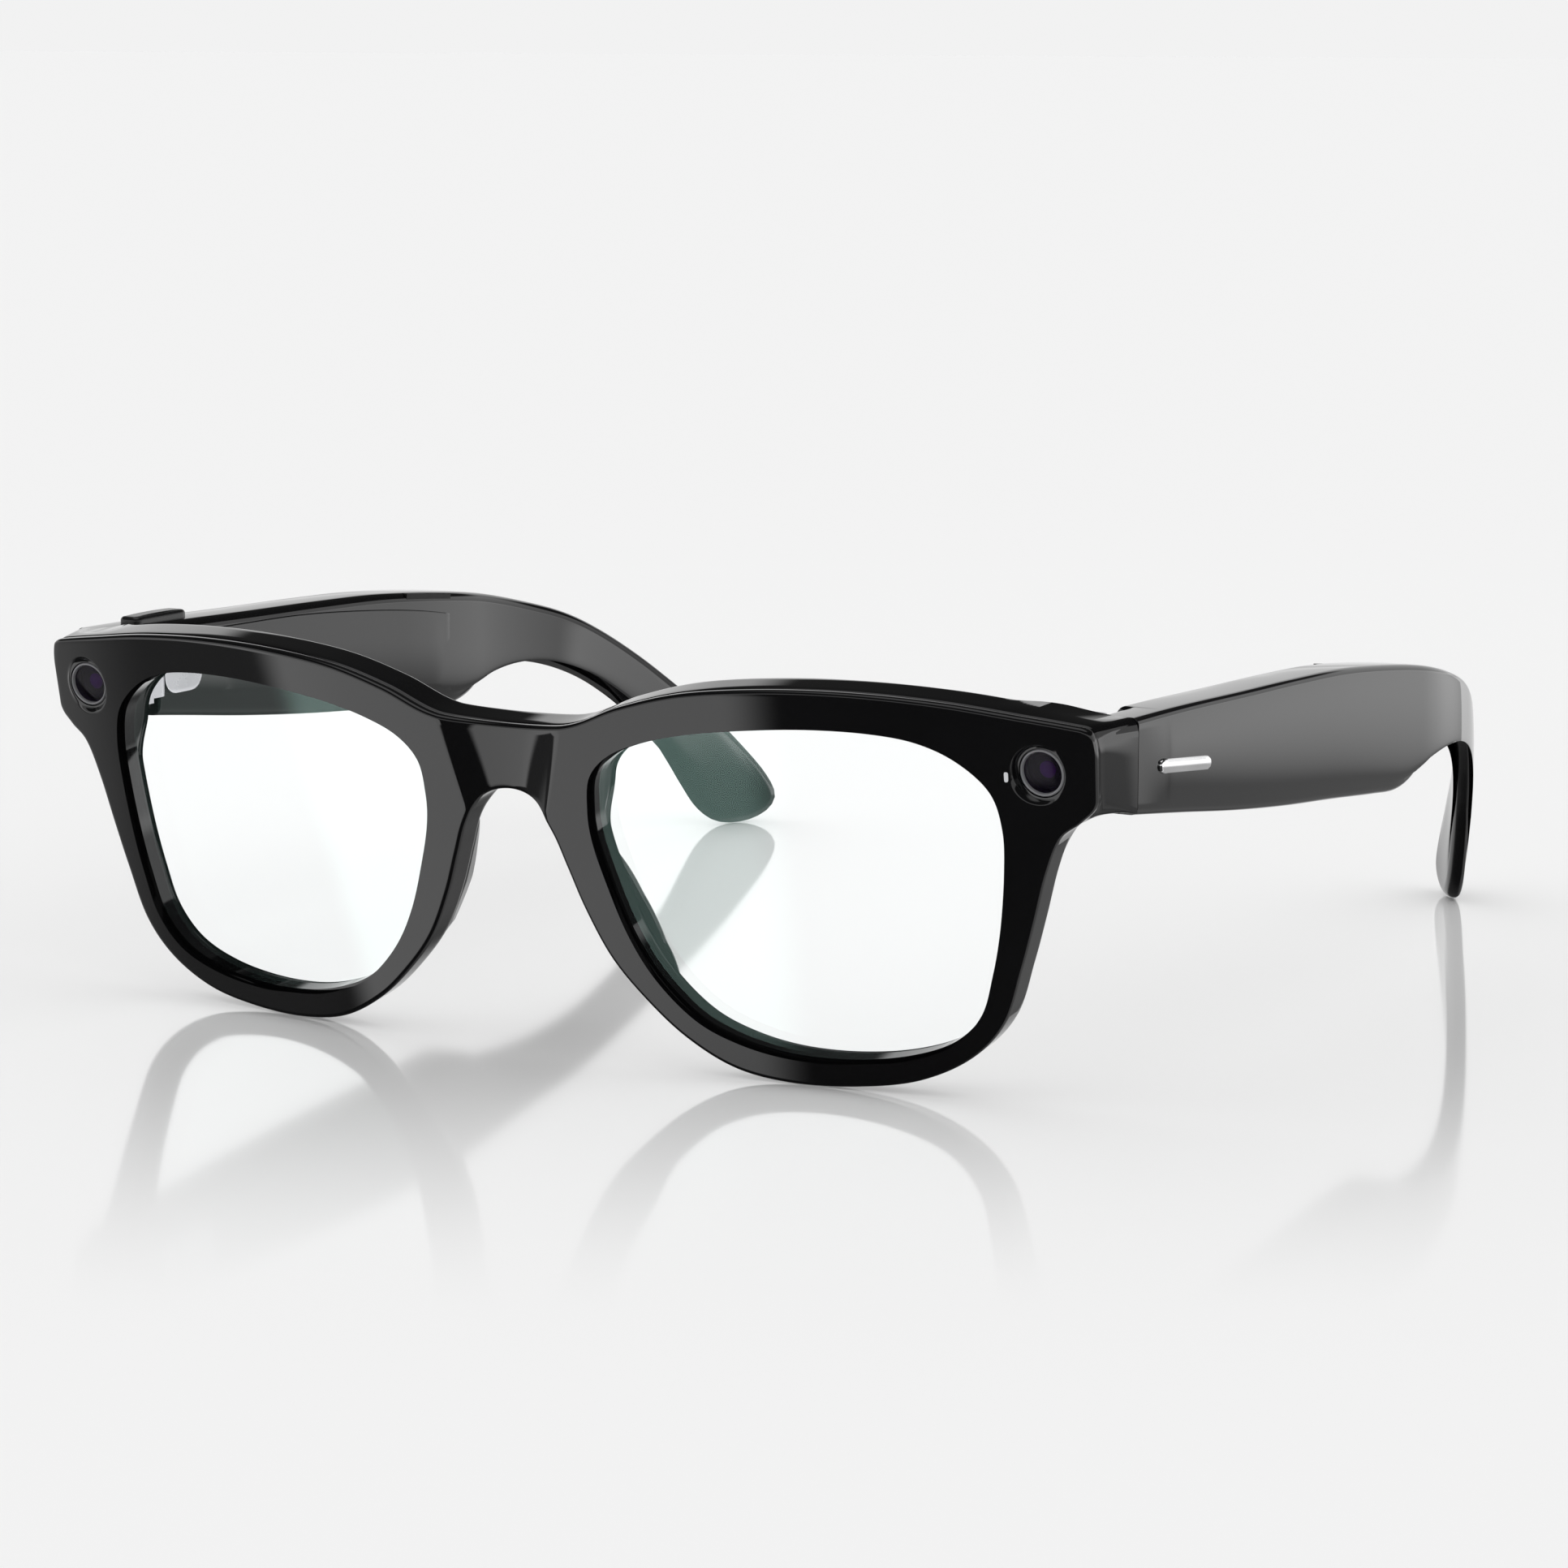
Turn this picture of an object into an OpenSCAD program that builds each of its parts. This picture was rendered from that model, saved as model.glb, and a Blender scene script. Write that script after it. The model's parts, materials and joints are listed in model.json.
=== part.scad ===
// Smart glasses standing on a table: front face towards -Y, temples towards +Y, wearer's left on +X.

/* [Front] */
// Distance from the middle of the bridge to the front corner of an end piece
front_half_w = 70.6; // [69.8:0.1:71.2]
// Radius of the front's wrap around the face
wrap_r = 295; // [280:1:310]
// Forward lean of the front, in degrees
lean = 8.7; // [8:0.1:9.4]
// Thickness of the brow, the bridge and the end pieces
brow_t = 6; // [5.8:0.1:6.2]
// Thickness of the lower rims
rim_t = 4.2; // [4:0.1:4.6]
// Thickness of a lens
lens_t = 2; // [1.4:0.1:2.2]
// How deep a lens edge sits in the rim
groove_d = 0.7; // [0.4:0.1:0.9]

/* [Cameras] */
// Distance of a camera from the middle of the bridge
camera_x = 64.8; // [64.4:0.1:65.2]
// Height of a camera up the front
camera_z = 37.3; // [37.1:0.1:37.6]
// Radius of the metal camera ring
ring_r = 2.9; // [2.7:0.05:3]

/* [Temples] */
// Outer face of a temple at the hinge, from the middle
temple_x = 72.7; // [72.5:0.1:72.8]
// Thickness of the electronics part of a temple
temple_t = 6.8; // [6.6:0.1:7.2]
// Thickness of the tip
tip_t = 2.6; // [2.5:0.1:3]
// How far the tip leans inwards
tip_in = 18.3; // [17.5:0.1:19]
// Seam between the front and a temple
seam_y = 9.4; // [9.3:0.05:9.5]
// Outer wall of the temple shell
wall = 1.2; // [1:0.1:1.3]

/* [Hinge] */
// Hinge axis, distance from the middle
axis_x = 65; // [64.9:0.05:65.1]
// Hinge axis, distance behind the front
axis_y = 14; // [13.9:0.05:14.2]
// Radius of the knuckles
knuckle_r = 1.8; // [1.6:0.05:1.85]
// Radius of the hinge pin
pin_r = 0.8; // [0.7:0.05:0.9]
// Radial clearance of the temple knuckle on the pin
pin_play = 0.05; // [0.02:0.01:0.08]

/* [Hidden] */
steps = 5;
pad_flare = 16;
mid_y = 70.23;
stand = 0.06;
far = 120;
seam_gap = 0.15;
fine = 720;
lens_front = 1.4;
hinge_low = 35;
hinge_high = 42.4;
knuckle_gap = 0.1;
knuckle_h = (hinge_high - hinge_low - 2 * knuckle_gap) / 3;
mid_low = hinge_low + knuckle_h + knuckle_gap;
mid_high = mid_low + knuckle_h;
camera_y = 7.6;
recess_r = ring_r + 0.4;
window_r = ring_r - 0.5;
lip = 0.3;
ring_t = 1.3;
window_t = 0.7;
barrel_t = 2;
module_t = 1;
module_w = 5;
cover_t = 1.2;
leaf_t = 1.6;
leaf_y = [17, 24.6];
leaf_z = [34.6, 41.4];
clear = 0.3;
button_y = 20.4;
button_l = 10.4;
button_w = 3.2;
button_gap = 0.1;
switch_y = 32.4;
switch_z = 36.6;

// Points across the front, x and height up the leaning front.
TOP = [[-9, 40.2], [0, 39.4], [9, 40.2], [16, 42.8], [24, 44.8], [34, 45.7], [44, 45.7], [54, 45.1],
  [63, 44], [front_half_w, 42.7], [77, 41.4]];
SIDE = [[front_half_w, 47], [front_half_w, 42.7], [70.9, 39], [70.6, 34], [68.8, 31.8], [66.4, 29.9],
  [64.6, 25.7], [63, 20.2], [61.3, 14.7], [59, 8.4], [55, 4.1], [49, 1.2], [42, 0], [34, -0.2],
  [27, 1], [21, 4.2], [16, 8.6], [12.2, 13.1], [9.4, 18.5], [7.5, 23.4], [5.9, 27.4], [3.6, 30.7],
  [0, 31.7], [-3.6, 30.7]];
OPENING = [[10.6, 30.6], [11.3, 34.6], [14.2, 37.5], [19, 39.4], [25, 40.7], [32, 41.5], [39, 41.9],
  [46, 41.7], [51.5, 40.8], [56, 38.7], [59.5, 35.3], [60.7, 31], [60.6, 26], [59.8, 19.5],
  [58.6, 14], [56.9, 9], [53.2, 5.2], [47.5, 3.1], [40.5, 2.2], [33.5, 2.4], [27.5, 3.7], [22.3, 6.1],
  [17.6, 10.6], [14.4, 15.9], [12, 22.5], [10.8, 27]];

// Side view of a temple: y and height.
TEMPLE = [[-6, 43.8], [8.15, 43.85], [22, 43.7], [38, 43.2], [52, 42.7], [66, 41.9], [80, 40.6], [92, 39],
  [103, 36.7], [112, 34.2], [119, 31], [126, 26.5], [132.5, 21.2], [138, 16.1], [142.2, 11.3],
  [145.2, 7.2], [146.5, 3.9], [145.3, 1.5], [142.2, 0.2], [138.6, 0.5], [135.7, 2.8], [133.4, 6.4],
  [131.2, 10.2], [128.7, 14.1], [125.7, 17.7], [122.4, 21.3], [118.4, 24.6], [113.6, 27.3],
  [108, 28.9], [102, 29.4], [96, 28.7], [91.2, 27.3], [87, 25.5], [82.5, 24.8], [76, 25.3],
  [64, 26.5], [50, 28.1], [36, 29.7], [22, 31.6], [8.15, 33.4], [-6, 35.2]];
COVER = [[28.2, 42.1], [46, 41.6], [60, 40.6], [72, 39.3], [82, 37.7], [82, 26.6], [64, 28.4], [46, 30.6],
  [28.2, 32.8]];
CAVITY = [[28.2, 41.1], [46, 40.6], [60, 39.6], [72, 38.3], [81, 36.8], [81, 27.7], [64, 29.4],
  [46, 31.6], [28.2, 33.8]];

// Nose pad: outline seen from the front, and depth over height.
PAD = [[7, 28.4], [6.3, 26.6], [7.8, 22.4], [9.8, 18], [12.4, 13.8], [15, 10.8], [17.6, 9.6], [17.4, 11],
  [15, 14.4], [12.9, 18.4], [11.5, 22.6], [10.6, 26.4], [9, 28.4], [7, 28.4], [6.3, 26.6], [7.8, 22.4]];
PAD_DEPTH = [[1, 30], [3, 29], [5.2, 27.6], [7.2, 24], [8.9, 19], [9.4, 15], [8.6, 11.6], [6.4, 9.2],
  [3, 8], [1, 7]];

function bend(a, b, c, d, t) =
  0.5 * (2 * b + (c - a) * t + (2 * a - 5 * b + 4 * c - d) * t * t + (3 * b - a - 3 * c + d) * t * t * t);
function path(p) =
  [for (i = [1 : len(p) - 3], k = [0 : steps - 1]) bend(p[i - 1], p[i], p[i + 1], p[i + 2], k / steps)];
function loop(p) = let (n = len(p))
  [for (i = [0 : n - 1], k = [0 : steps - 1])
    bend(p[(i + n - 1) % n], p[i], p[(i + 1) % n], p[(i + 2) % n], k / steps)];
function grown(p, d) = let (n = len(p))
  [for (i = [0 : n - 1])
    let (t = p[(i + 1) % n] - p[(i + n - 1) % n])
      p[i] + d * [-t[1], t[0]] / norm(t)];
function flipped(p) = [for (i = [len(p) - 1 : -1 : 0]) [-p[i][0], p[i][1]]];
function outer_x(y) = temple_x - tip_in * pow(max(0, y - 90) / 56.5, 2);
function thick(y) =
  tip_t + (temple_t - tip_t) * (1 + cos(180 * max(0, min(1, (y - 70) / 60)))) / 2;
function top_band(a, b, w) = let (p = [for (q = path(TOP)) if (abs(q[0]) <= w) q])
  let (all = concat(flipped(p), [for (q = p) if (q[0] > 0) q]))
    concat([for (q = all) [q[0], q[1] - a]],
      [for (i = [len(all) - 1 : -1 : 0]) [all[i][0], all[i][1] - b]]);

// Everything is drawn for the wearer's left side and mirrored for the right.
module put(side = 1) {
  translate([0, -mid_y, -stand])
    mirror([side < 0 ? 1 : 0, 0, 0])
      children();
}

// The front leans forward about its lower edge.
module leaning() {
  rotate([lean, 0, 0])
    children();
}

// A shape given by x and height, drawn along the depth.
module facing(from, to) {
  translate([0, to, 0])
    rotate([90, 0, 0])
      linear_extrude(height = to - from)
        children();
}

// A shape given by y and height, drawn along x.
module sideways(from, to) {
  translate([from, 0, 0])
    rotate([90, 0, 90])
      linear_extrude(height = to - from)
        children();
}

module wrap(front, back) {
  translate([0, wrap_r, -2])
    difference() {
      cylinder(r = wrap_r - front, h = 54, $fn = fine);
      translate([0, 0, -1])
        cylinder(r = wrap_r - back, h = 56, $fn = fine);
    }
}

module front_outline() {
  top = [for (q = path(TOP)) if (q[0] >= 0) q];
  side = path(SIDE);
  half = concat(top, [for (q = side) if (q[1] < 42.8 && q[0] > 0) q], [[0, 31.7]]);
  polygon(half);
  mirror([1, 0])
    polygon(half);
}

module opening(extra) {
  polygon(grown(loop(OPENING), extra));
}

module camera_bores() {
  translate([camera_x, camera_y, camera_z])
    rotate([-90, 0, 0]) {
      translate([0, 0, -far / 10])
        cylinder(r = recess_r, h = far / 10, $fn = 64);
      cylinder(r = ring_r, h = ring_t, $fn = 64);
      translate([-module_w / 2, -module_w / 2, lip + window_t])
        cube([module_w, module_w, barrel_t + module_t]);
    }
}

module end_block() {
  translate([0, 0, 33.2])
    linear_extrude(height = 10.5)
      polygon([[60, 3], [front_half_w - 0.6, 3], [temple_x, seam_y], [60, seam_y]]);
}

module hinge_pocket() {
  translate([60.8, 6.4, hinge_low])
    cube([6, 4, hinge_high - hinge_low]);
}

module front_frame() {
  color([0.03, 0.03, 0.035])
    put()
      difference() {
        union() {
          leaning()
            intersection() {
              facing(-2, 20)
                front_outline();
              union() {
                wrap(0, rim_t);
                intersection() {
                  wrap(0, brow_t);
                  translate([-far, -2, 33])
                    cube([2 * far, 24, 20]);
                }
              }
            }
          end_block();
          mirror([1, 0, 0])
            end_block();
        }
        for (s = [0, 1])
          mirror([s, 0, 0]) {
            translate([59, seam_y, -5])
              cube([20, 20, 60]);
            hinge_pocket();
            leaning() {
              facing(-2, 20)
                opening(0);
              intersection() {
                facing(-2, 20)
                  opening(groove_d);
                wrap(lens_front, lens_front + lens_t);
              }
              camera_bores();
              intersection() {
                wrap(3.2, 5);
                translate([60.4, 0, 38.6])
                  cube([2.2, 20, 4.6]);
              }
            }
          }
        leaning() {
          intersection() {
            wrap(5, brow_t + 1);
            facing(-2, 20)
              polygon(top_band(0.6, 2.6, 57));
          }
          intersection() {
            wrap(3.2, 5);
            facing(-2, 20)
              polygon(top_band(1, 2.2, 61));
          }
          for (x = [-2.2, 2.2])
            translate([x, 5.2, 34.4])
              rotate([-90, 0, 0])
                cylinder(r = 0.8, h = 3, $fn = 32);
          translate([0, 3, 31])
            cylinder(r = 0.6, h = 2, $fn = 32);
          translate([camera_x - 3.7, 2, camera_z - 0.4])
            rotate([-90, 0, 0])
              cylinder(r = 0.35, h = 7.2, $fn = 32);
        }
      }
}

module front_rear_cover() {
  color([0.05, 0.05, 0.055])
    put()
      leaning()
        intersection() {
          wrap(5, brow_t);
          facing(-2, 20)
            polygon(top_band(0.6, 2.6, 57));
        }
}

module front_flex_cable() {
  color([0.55, 0.3, 0.08])
    put()
      leaning()
        intersection() {
          wrap(4.7, 5);
          facing(-2, 20)
            polygon(top_band(1.1, 2.1, 61));
        }
}

module lens() {
  leaning()
    intersection() {
      facing(-2, 20)
        opening(groove_d);
      wrap(lens_front, lens_front + lens_t);
    }
}

module left_lens() {
  color([0.9, 0.97, 0.97, 0.3])
    put()
      lens();
}

module right_lens() {
  color([0.9, 0.97, 0.97, 0.3])
    put(-1)
      lens();
}

module nose_pad() {
  leaning()
    intersection() {
      translate([9, rim_t, 0])
        rotate([0, 0, -pad_flare])
          translate([-9, -rim_t, 0])
            facing(1, 13)
              polygon(path(PAD));
      wrap(rim_t, 13);
      sideways(0, 30)
        polygon(path(PAD_DEPTH));
    }
}

module left_nose_pad() {
  color([0.05, 0.05, 0.055])
    put()
      nose_pad();
}

module right_nose_pad() {
  color([0.05, 0.05, 0.055])
    put(-1)
      nose_pad();
}

module at_camera(depth) {
  leaning()
    translate([camera_x, camera_y + depth, camera_z])
      rotate([-90, 0, 0])
        children();
}

module camera_bezel() {
  at_camera(0)
    difference() {
      cylinder(r = ring_r, h = ring_t, $fn = 64);
      translate([0, 0, -1])
        cylinder(r = window_r - 0.25, h = ring_t + 2, $fn = 64);
      translate([0, 0, lip])
        cylinder(r = window_r, h = ring_t, $fn = 64);
    }
}

module left_camera_bezel() {
  color([0.45, 0.45, 0.47])
    put()
      camera_bezel();
}

module right_camera_bezel() {
  color([0.45, 0.45, 0.47])
    put(-1)
      camera_bezel();
}

module camera_window() {
  at_camera(lip)
    cylinder(r = window_r, h = window_t, $fn = 64);
}

module left_camera_window() {
  color([0.05, 0.02, 0.08, 0.5])
    put()
      camera_window();
}

module right_camera_window() {
  color([0.05, 0.02, 0.08, 0.5])
    put(-1)
      camera_window();
}

module camera_barrel() {
  at_camera(lip + window_t)
    difference() {
      union() {
        cylinder(r = 1.5, h = barrel_t, $fn = 48);
        translate([0, 0, 1])
          cylinder(r = 2.1, h = barrel_t - 1, $fn = 48);
      }
      translate([0, 0, -1])
        cylinder(r = 0.8, h = 2, $fn = 48);
    }
}

module left_camera_barrel() {
  color([0.1, 0.1, 0.11])
    put()
      camera_barrel();
}

module right_camera_barrel() {
  color([0.1, 0.1, 0.11])
    put(-1)
      camera_barrel();
}

module sensor_block() {
  at_camera(lip + window_t + barrel_t)
    translate([-module_w / 2, -module_w / 2, 0])
      cube([module_w, module_w, module_t]);
}

module camera_module() {
  color([0.1, 0.25, 0.15])
    put()
      sensor_block();
}

module led_module() {
  color([0.1, 0.25, 0.15])
    put(-1)
      sensor_block();
}

module status_led() {
  color([0.8, 0.85, 0.85])
    put()
      leaning()
        translate([camera_x - 3.7, camera_y - 0.9, camera_z - 0.4])
          rotate([-90, 0, 0])
            cylinder(r = 0.35, h = 2.5, $fn = 32);
}

module bridge_contacts() {
  color([0.8, 0.65, 0.3])
    put()
      leaning()
        for (x = [-2.2, 2.2])
          translate([x, 5.2, 34.4])
            rotate([-90, 0, 0])
              cylinder(r = 0.8, h = 0.9, $fn = 32);
}

module bridge_microphone() {
  color([0.2, 0.2, 0.2])
    put()
      leaning()
        translate([0, 3, 32.1])
          cylinder(r = 0.6, h = 0.9, $fn = 32);
}

module knuckle(low, high, bore) {
  translate([axis_x, axis_y, low])
    difference() {
      union() {
        cylinder(r = knuckle_r, h = high - low, $fn = 48);
        children();
      }
      translate([0, 0, -1])
        cylinder(r = bore, h = high - low + 2, $fn = 48);
    }
}

module front_hinge() {
  for (z = [hinge_low, mid_high + knuckle_gap])
    knuckle(z, z + knuckle_h, pin_r)
      translate([-knuckle_r, seam_y - axis_y, 0])
        cube([2 * knuckle_r, axis_y - seam_y, knuckle_h]);
  translate([60.8, 6.4, hinge_low])
    cube([6, seam_y - 6.4, hinge_high - hinge_low]);
}

module left_front_hinge() {
  color([0.7, 0.7, 0.72])
    put()
      front_hinge();
}

module right_front_hinge() {
  color([0.7, 0.7, 0.72])
    put(-1)
      front_hinge();
}

module hinge_pin() {
  translate([axis_x, axis_y, hinge_low]) {
    cylinder(r = pin_r, h = hinge_high - hinge_low, $fn = 48);
    translate([0, 0, hinge_high - hinge_low])
      cylinder(r = pin_r + 0.6, h = 0.5, $fn = 48);
  }
}

module left_hinge_pin() {
  color([0.7, 0.7, 0.72])
    put()
      hinge_pin();
}

module right_hinge_pin() {
  color([0.7, 0.7, 0.72])
    put(-1)
      hinge_pin();
}

// Plan of a temple between two depths below its inner face, as a strip along y.
module temple_plan(inner, outer, from, to) {
  ys = [for (k = [0 : 36]) from + (to - from) * k / 36];
  a = [for (y = ys) [outer_x(y) - thick(y) + inner, y]];
  b = [for (k = [36 : -1 : 0]) [outer_x(ys[k]) - outer, ys[k]]];
  linear_extrude(height = 60)
    polygon(concat(a, b));
}

module temple_side() {
  polygon(path(TEMPLE));
}

module core_strip() {
  line = [[84, 33], [92, 34], [100, 33.6], [108, 32], [116, 28.8], [123, 24], [129, 18.4], [134, 12.4]];
  polygon(concat([for (p = line) p + [0.4, 0.5]], [for (i = [7 : -1 : 0]) line[i] - [0.4, 0.5]]));
}

module core_wire() {
  intersection() {
    sideways(40, 80)
      core_strip();
    temple_plan(0.9, 0.9, 80, 138);
  }
}

module temple_hinge_leaf() {
  knuckle(mid_low, mid_high, pin_r + pin_play)
    translate([0, 0, 0])
      cube([leaf_t, leaf_y[0] - axis_y, knuckle_h]);
  translate([axis_x, leaf_y[0], leaf_z[0]])
    cube([leaf_t, leaf_y[1] - leaf_y[0], leaf_z[1] - leaf_z[0]]);
}

module button_slot(gap) {
  translate([temple_x - temple_t / 2 - button_w / 2 - gap, button_y - button_l / 2 - gap, 41])
    cube([button_w + 2 * gap, button_l + 2 * gap, 6]);
}

module speaker_slot() {
  translate([65, 76.5, 40.3])
    rotate([-7, 0, 0])
      translate([0, -5.5, -0.45])
        cube([2.2, 11, 0.9]);
}

module mic_bore() {
  translate([69.2, 31, 28])
    cylinder(r = 0.6, h = 5.4, $fn = 32);
}

module emblem_plate() {
  translate([temple_x - 0.6, 14.6, 37.6])
    rotate([-6, 0, 0])
      rotate([0, 90, 0]) {
        cylinder(r = 1.1, h = 0.85, $fn = 48);
        translate([0, 12.4, 0])
          cylinder(r = 1.1, h = 0.85, $fn = 48);
        translate([-1.1, 0, 0])
          cube([2.2, 12.4, 0.85]);
      }
}

module temple_shell() {
  difference() {
    intersection() {
      sideways(40, 80)
        temple_side();
      temple_plan(0, 0, seam_y + seam_gap, 148);
    }
    translate([60, 0, 0])
      cube([axis_x + knuckle_r + clear - 60, leaf_y[0], 60]);
    translate([axis_x - 4, leaf_y[0] - 1, leaf_z[0]])
      cube([4 + leaf_t, leaf_y[1] - leaf_y[0] + 1, leaf_z[1] - leaf_z[0]]);
    intersection() {
      sideways(40, 80)
        polygon(COVER);
      temple_plan(-1, temple_t - cover_t, 20, 90);
    }
    intersection() {
      sideways(40, 80)
        polygon(CAVITY);
      temple_plan(0, wall, 20, 90);
    }
    translate([temple_x - 4.6, leaf_y[0], 34.5])
      cube([4.6 - wall, 13, 8]);
    core_wire();
    speaker_slot();
    mic_bore();
    emblem_plate();
  }
}

module left_temple_shell() {
  color([0.03, 0.03, 0.035])
    put()
      temple_shell();
}

module right_temple_shell() {
  color([0.03, 0.03, 0.035])
    put(-1)
      difference() {
        temple_shell();
        button_slot(button_gap);
      }
}

module temple_cover() {
  intersection() {
    sideways(40, 80)
      polygon(COVER);
    temple_plan(0, temple_t - cover_t, 20, 90);
  }
}

module switch_slot(extra, travel) {
  translate([temple_x - temple_t - 1, switch_y - extra, switch_z - extra])
    cube([cover_t + 2, 4 + travel + 2 * extra, 2.4 + 2 * extra]);
}

module left_temple_cover() {
  color([0.06, 0.06, 0.065])
    put()
      difference() {
        temple_cover();
        switch_slot(0.1, 2);
      }
}

module right_temple_cover() {
  color([0.06, 0.06, 0.065])
    put(-1)
      temple_cover();
}

module left_temple_hinge() {
  color([0.75, 0.75, 0.77])
    put()
      temple_hinge_leaf();
}

module right_temple_hinge() {
  color([0.75, 0.75, 0.77])
    put(-1)
      temple_hinge_leaf();
}

module left_core_wire() {
  color([0.6, 0.6, 0.62])
    put()
      core_wire();
}

module right_core_wire() {
  color([0.6, 0.6, 0.62])
    put(-1)
      core_wire();
}

module inside_box(y0, y1, z0, z1, t) {
  translate([temple_x - temple_t + cover_t, y0, z0])
    cube([t, y1 - y0, z1 - z0]);
}

module left_battery() {
  color([0.7, 0.72, 0.75])
    put()
      inside_box(41, 60, 32.2, 39.7, 3.4);
}

module right_battery() {
  color([0.7, 0.72, 0.75])
    put(-1)
      inside_box(41, 60, 32.2, 39.7, 3.4);
}

module speaker() {
  translate([temple_x - temple_t + cover_t, 63, 30.2])
    cube([3.2, 16, 6.8]);
}

module left_speaker() {
  color([0.15, 0.15, 0.16])
    put()
      speaker();
}

module right_speaker() {
  color([0.15, 0.15, 0.16])
    put(-1)
      speaker();
}

module speaker_grille() {
  intersection() {
    speaker_slot();
    temple_plan(0.2, 0, 60, 90);
  }
}

module left_speaker_grille() {
  color([0.02, 0.02, 0.02])
    put()
      speaker_grille();
}

module right_speaker_grille() {
  color([0.02, 0.02, 0.02])
    put(-1)
      speaker_grille();
}

module temple_mic() {
  translate([69.2, 31, 32])
    cylinder(r = 0.6, h = 1.4, $fn = 32);
}

module left_temple_mic() {
  color([0.2, 0.2, 0.2])
    put()
      temple_mic();
}

module right_temple_mic() {
  color([0.2, 0.2, 0.2])
    put(-1)
      temple_mic();
}

module left_emblem() {
  color([0.85, 0.85, 0.86])
    put()
      emblem_plate();
}

module right_emblem() {
  color([0.85, 0.85, 0.86])
    put(-1)
      emblem_plate();
}

module main_board() {
  color([0.1, 0.3, 0.18])
    put(-1)
      inside_box(29, 40, 34.2, 40.6, 1);
}

module touch_flex() {
  color([0.55, 0.3, 0.08])
    put(-1)
      translate([temple_x - wall - 0.3, 31, 34.2])
        cube([0.3, 26, 5]);
}

module capture_button() {
  color([0.05, 0.05, 0.055])
    put(-1)
      intersection() {
        button_slot(0);
        translate([60, 10, 42.5])
          cube([20, 20, 1.9]);
      }
}

module button_switch() {
  color([0.6, 0.6, 0.6])
    put(-1)
      translate([temple_x - 4.6, button_y - 2, 40.5])
        cube([4.6 - wall, 4, 1.5]);
}

module power_switch() {
  color([0.07, 0.07, 0.075])
    put()
      translate([temple_x - temple_t - 0.4, switch_y, switch_z])
        cube([cover_t + 0.4 - 0.05, 4, 2.4]);
}

module switch_body() {
  color([0.6, 0.6, 0.6])
    put()
      inside_box(31, 39.6, 34.8, 40, 2);
}

front_frame();
front_rear_cover();
front_flex_cable();
left_lens();
right_lens();
left_nose_pad();
right_nose_pad();
left_camera_bezel();
right_camera_bezel();
left_camera_window();
right_camera_window();
left_camera_barrel();
right_camera_barrel();
camera_module();
led_module();
status_led();
bridge_contacts();
bridge_microphone();
left_front_hinge();
right_front_hinge();
left_hinge_pin();
right_hinge_pin();
left_temple_shell();
right_temple_shell();
left_temple_cover();
right_temple_cover();
left_temple_hinge();
right_temple_hinge();
left_core_wire();
right_core_wire();
left_battery();
right_battery();
left_speaker();
right_speaker();
left_speaker_grille();
right_speaker_grille();
left_temple_mic();
right_temple_mic();
left_emblem();
right_emblem();
main_board();
touch_flex();
capture_button();
button_switch();
power_switch();
switch_body();
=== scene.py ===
"""Looks of the smart glasses: smooth moulded shells, lenses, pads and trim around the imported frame."""

import json
import math

import bmesh
import bpy
import numpy as np
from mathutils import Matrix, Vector


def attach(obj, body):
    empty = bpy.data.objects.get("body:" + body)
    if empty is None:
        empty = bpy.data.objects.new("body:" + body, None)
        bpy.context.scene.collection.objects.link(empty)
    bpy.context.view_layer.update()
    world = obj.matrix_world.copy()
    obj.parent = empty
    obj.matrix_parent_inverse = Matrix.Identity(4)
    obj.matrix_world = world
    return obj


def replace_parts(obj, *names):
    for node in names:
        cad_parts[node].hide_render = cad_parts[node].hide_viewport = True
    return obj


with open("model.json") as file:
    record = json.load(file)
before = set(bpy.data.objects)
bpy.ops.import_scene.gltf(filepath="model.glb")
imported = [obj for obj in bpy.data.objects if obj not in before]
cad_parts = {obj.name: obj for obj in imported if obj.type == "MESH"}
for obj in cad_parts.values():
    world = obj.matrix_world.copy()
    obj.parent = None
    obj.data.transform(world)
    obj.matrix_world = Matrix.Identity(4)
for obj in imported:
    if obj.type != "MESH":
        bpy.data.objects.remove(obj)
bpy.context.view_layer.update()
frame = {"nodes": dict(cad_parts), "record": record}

scene = bpy.context.scene

# ---------------------------------------------------------------- sizes, in millimetres as in the CAD
MM = 0.001
MID_Y = 70.23
STAND = 0.06
LEAN = math.radians(8.7)
WRAP_R = 295.0
BROW_T = 6.0
RIM_T = 4.2
LENS_FRONT = 1.4
LENS_T = 2.0
TEMPLE_X = 72.7
TEMPLE_T = 6.8
TIP_T = 2.6
TIP_IN = 18.3
TIP_FROM = 90
TIP_RUN = 56.5
THIN_FROM = 70
THIN_RUN = 60
SEAM_Y = 9.4
SEAM_LOW = 33.15
SEAM_TOP = 43.6
SEAM_GAP = 0.14
AXIS_X = 65.0
AXIS_Y = 14.0
HINGE_Z = 38
CAMERA_X = 64.8
CAMERA_Z = 37.3
CAMERA_Y = 7.6

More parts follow.
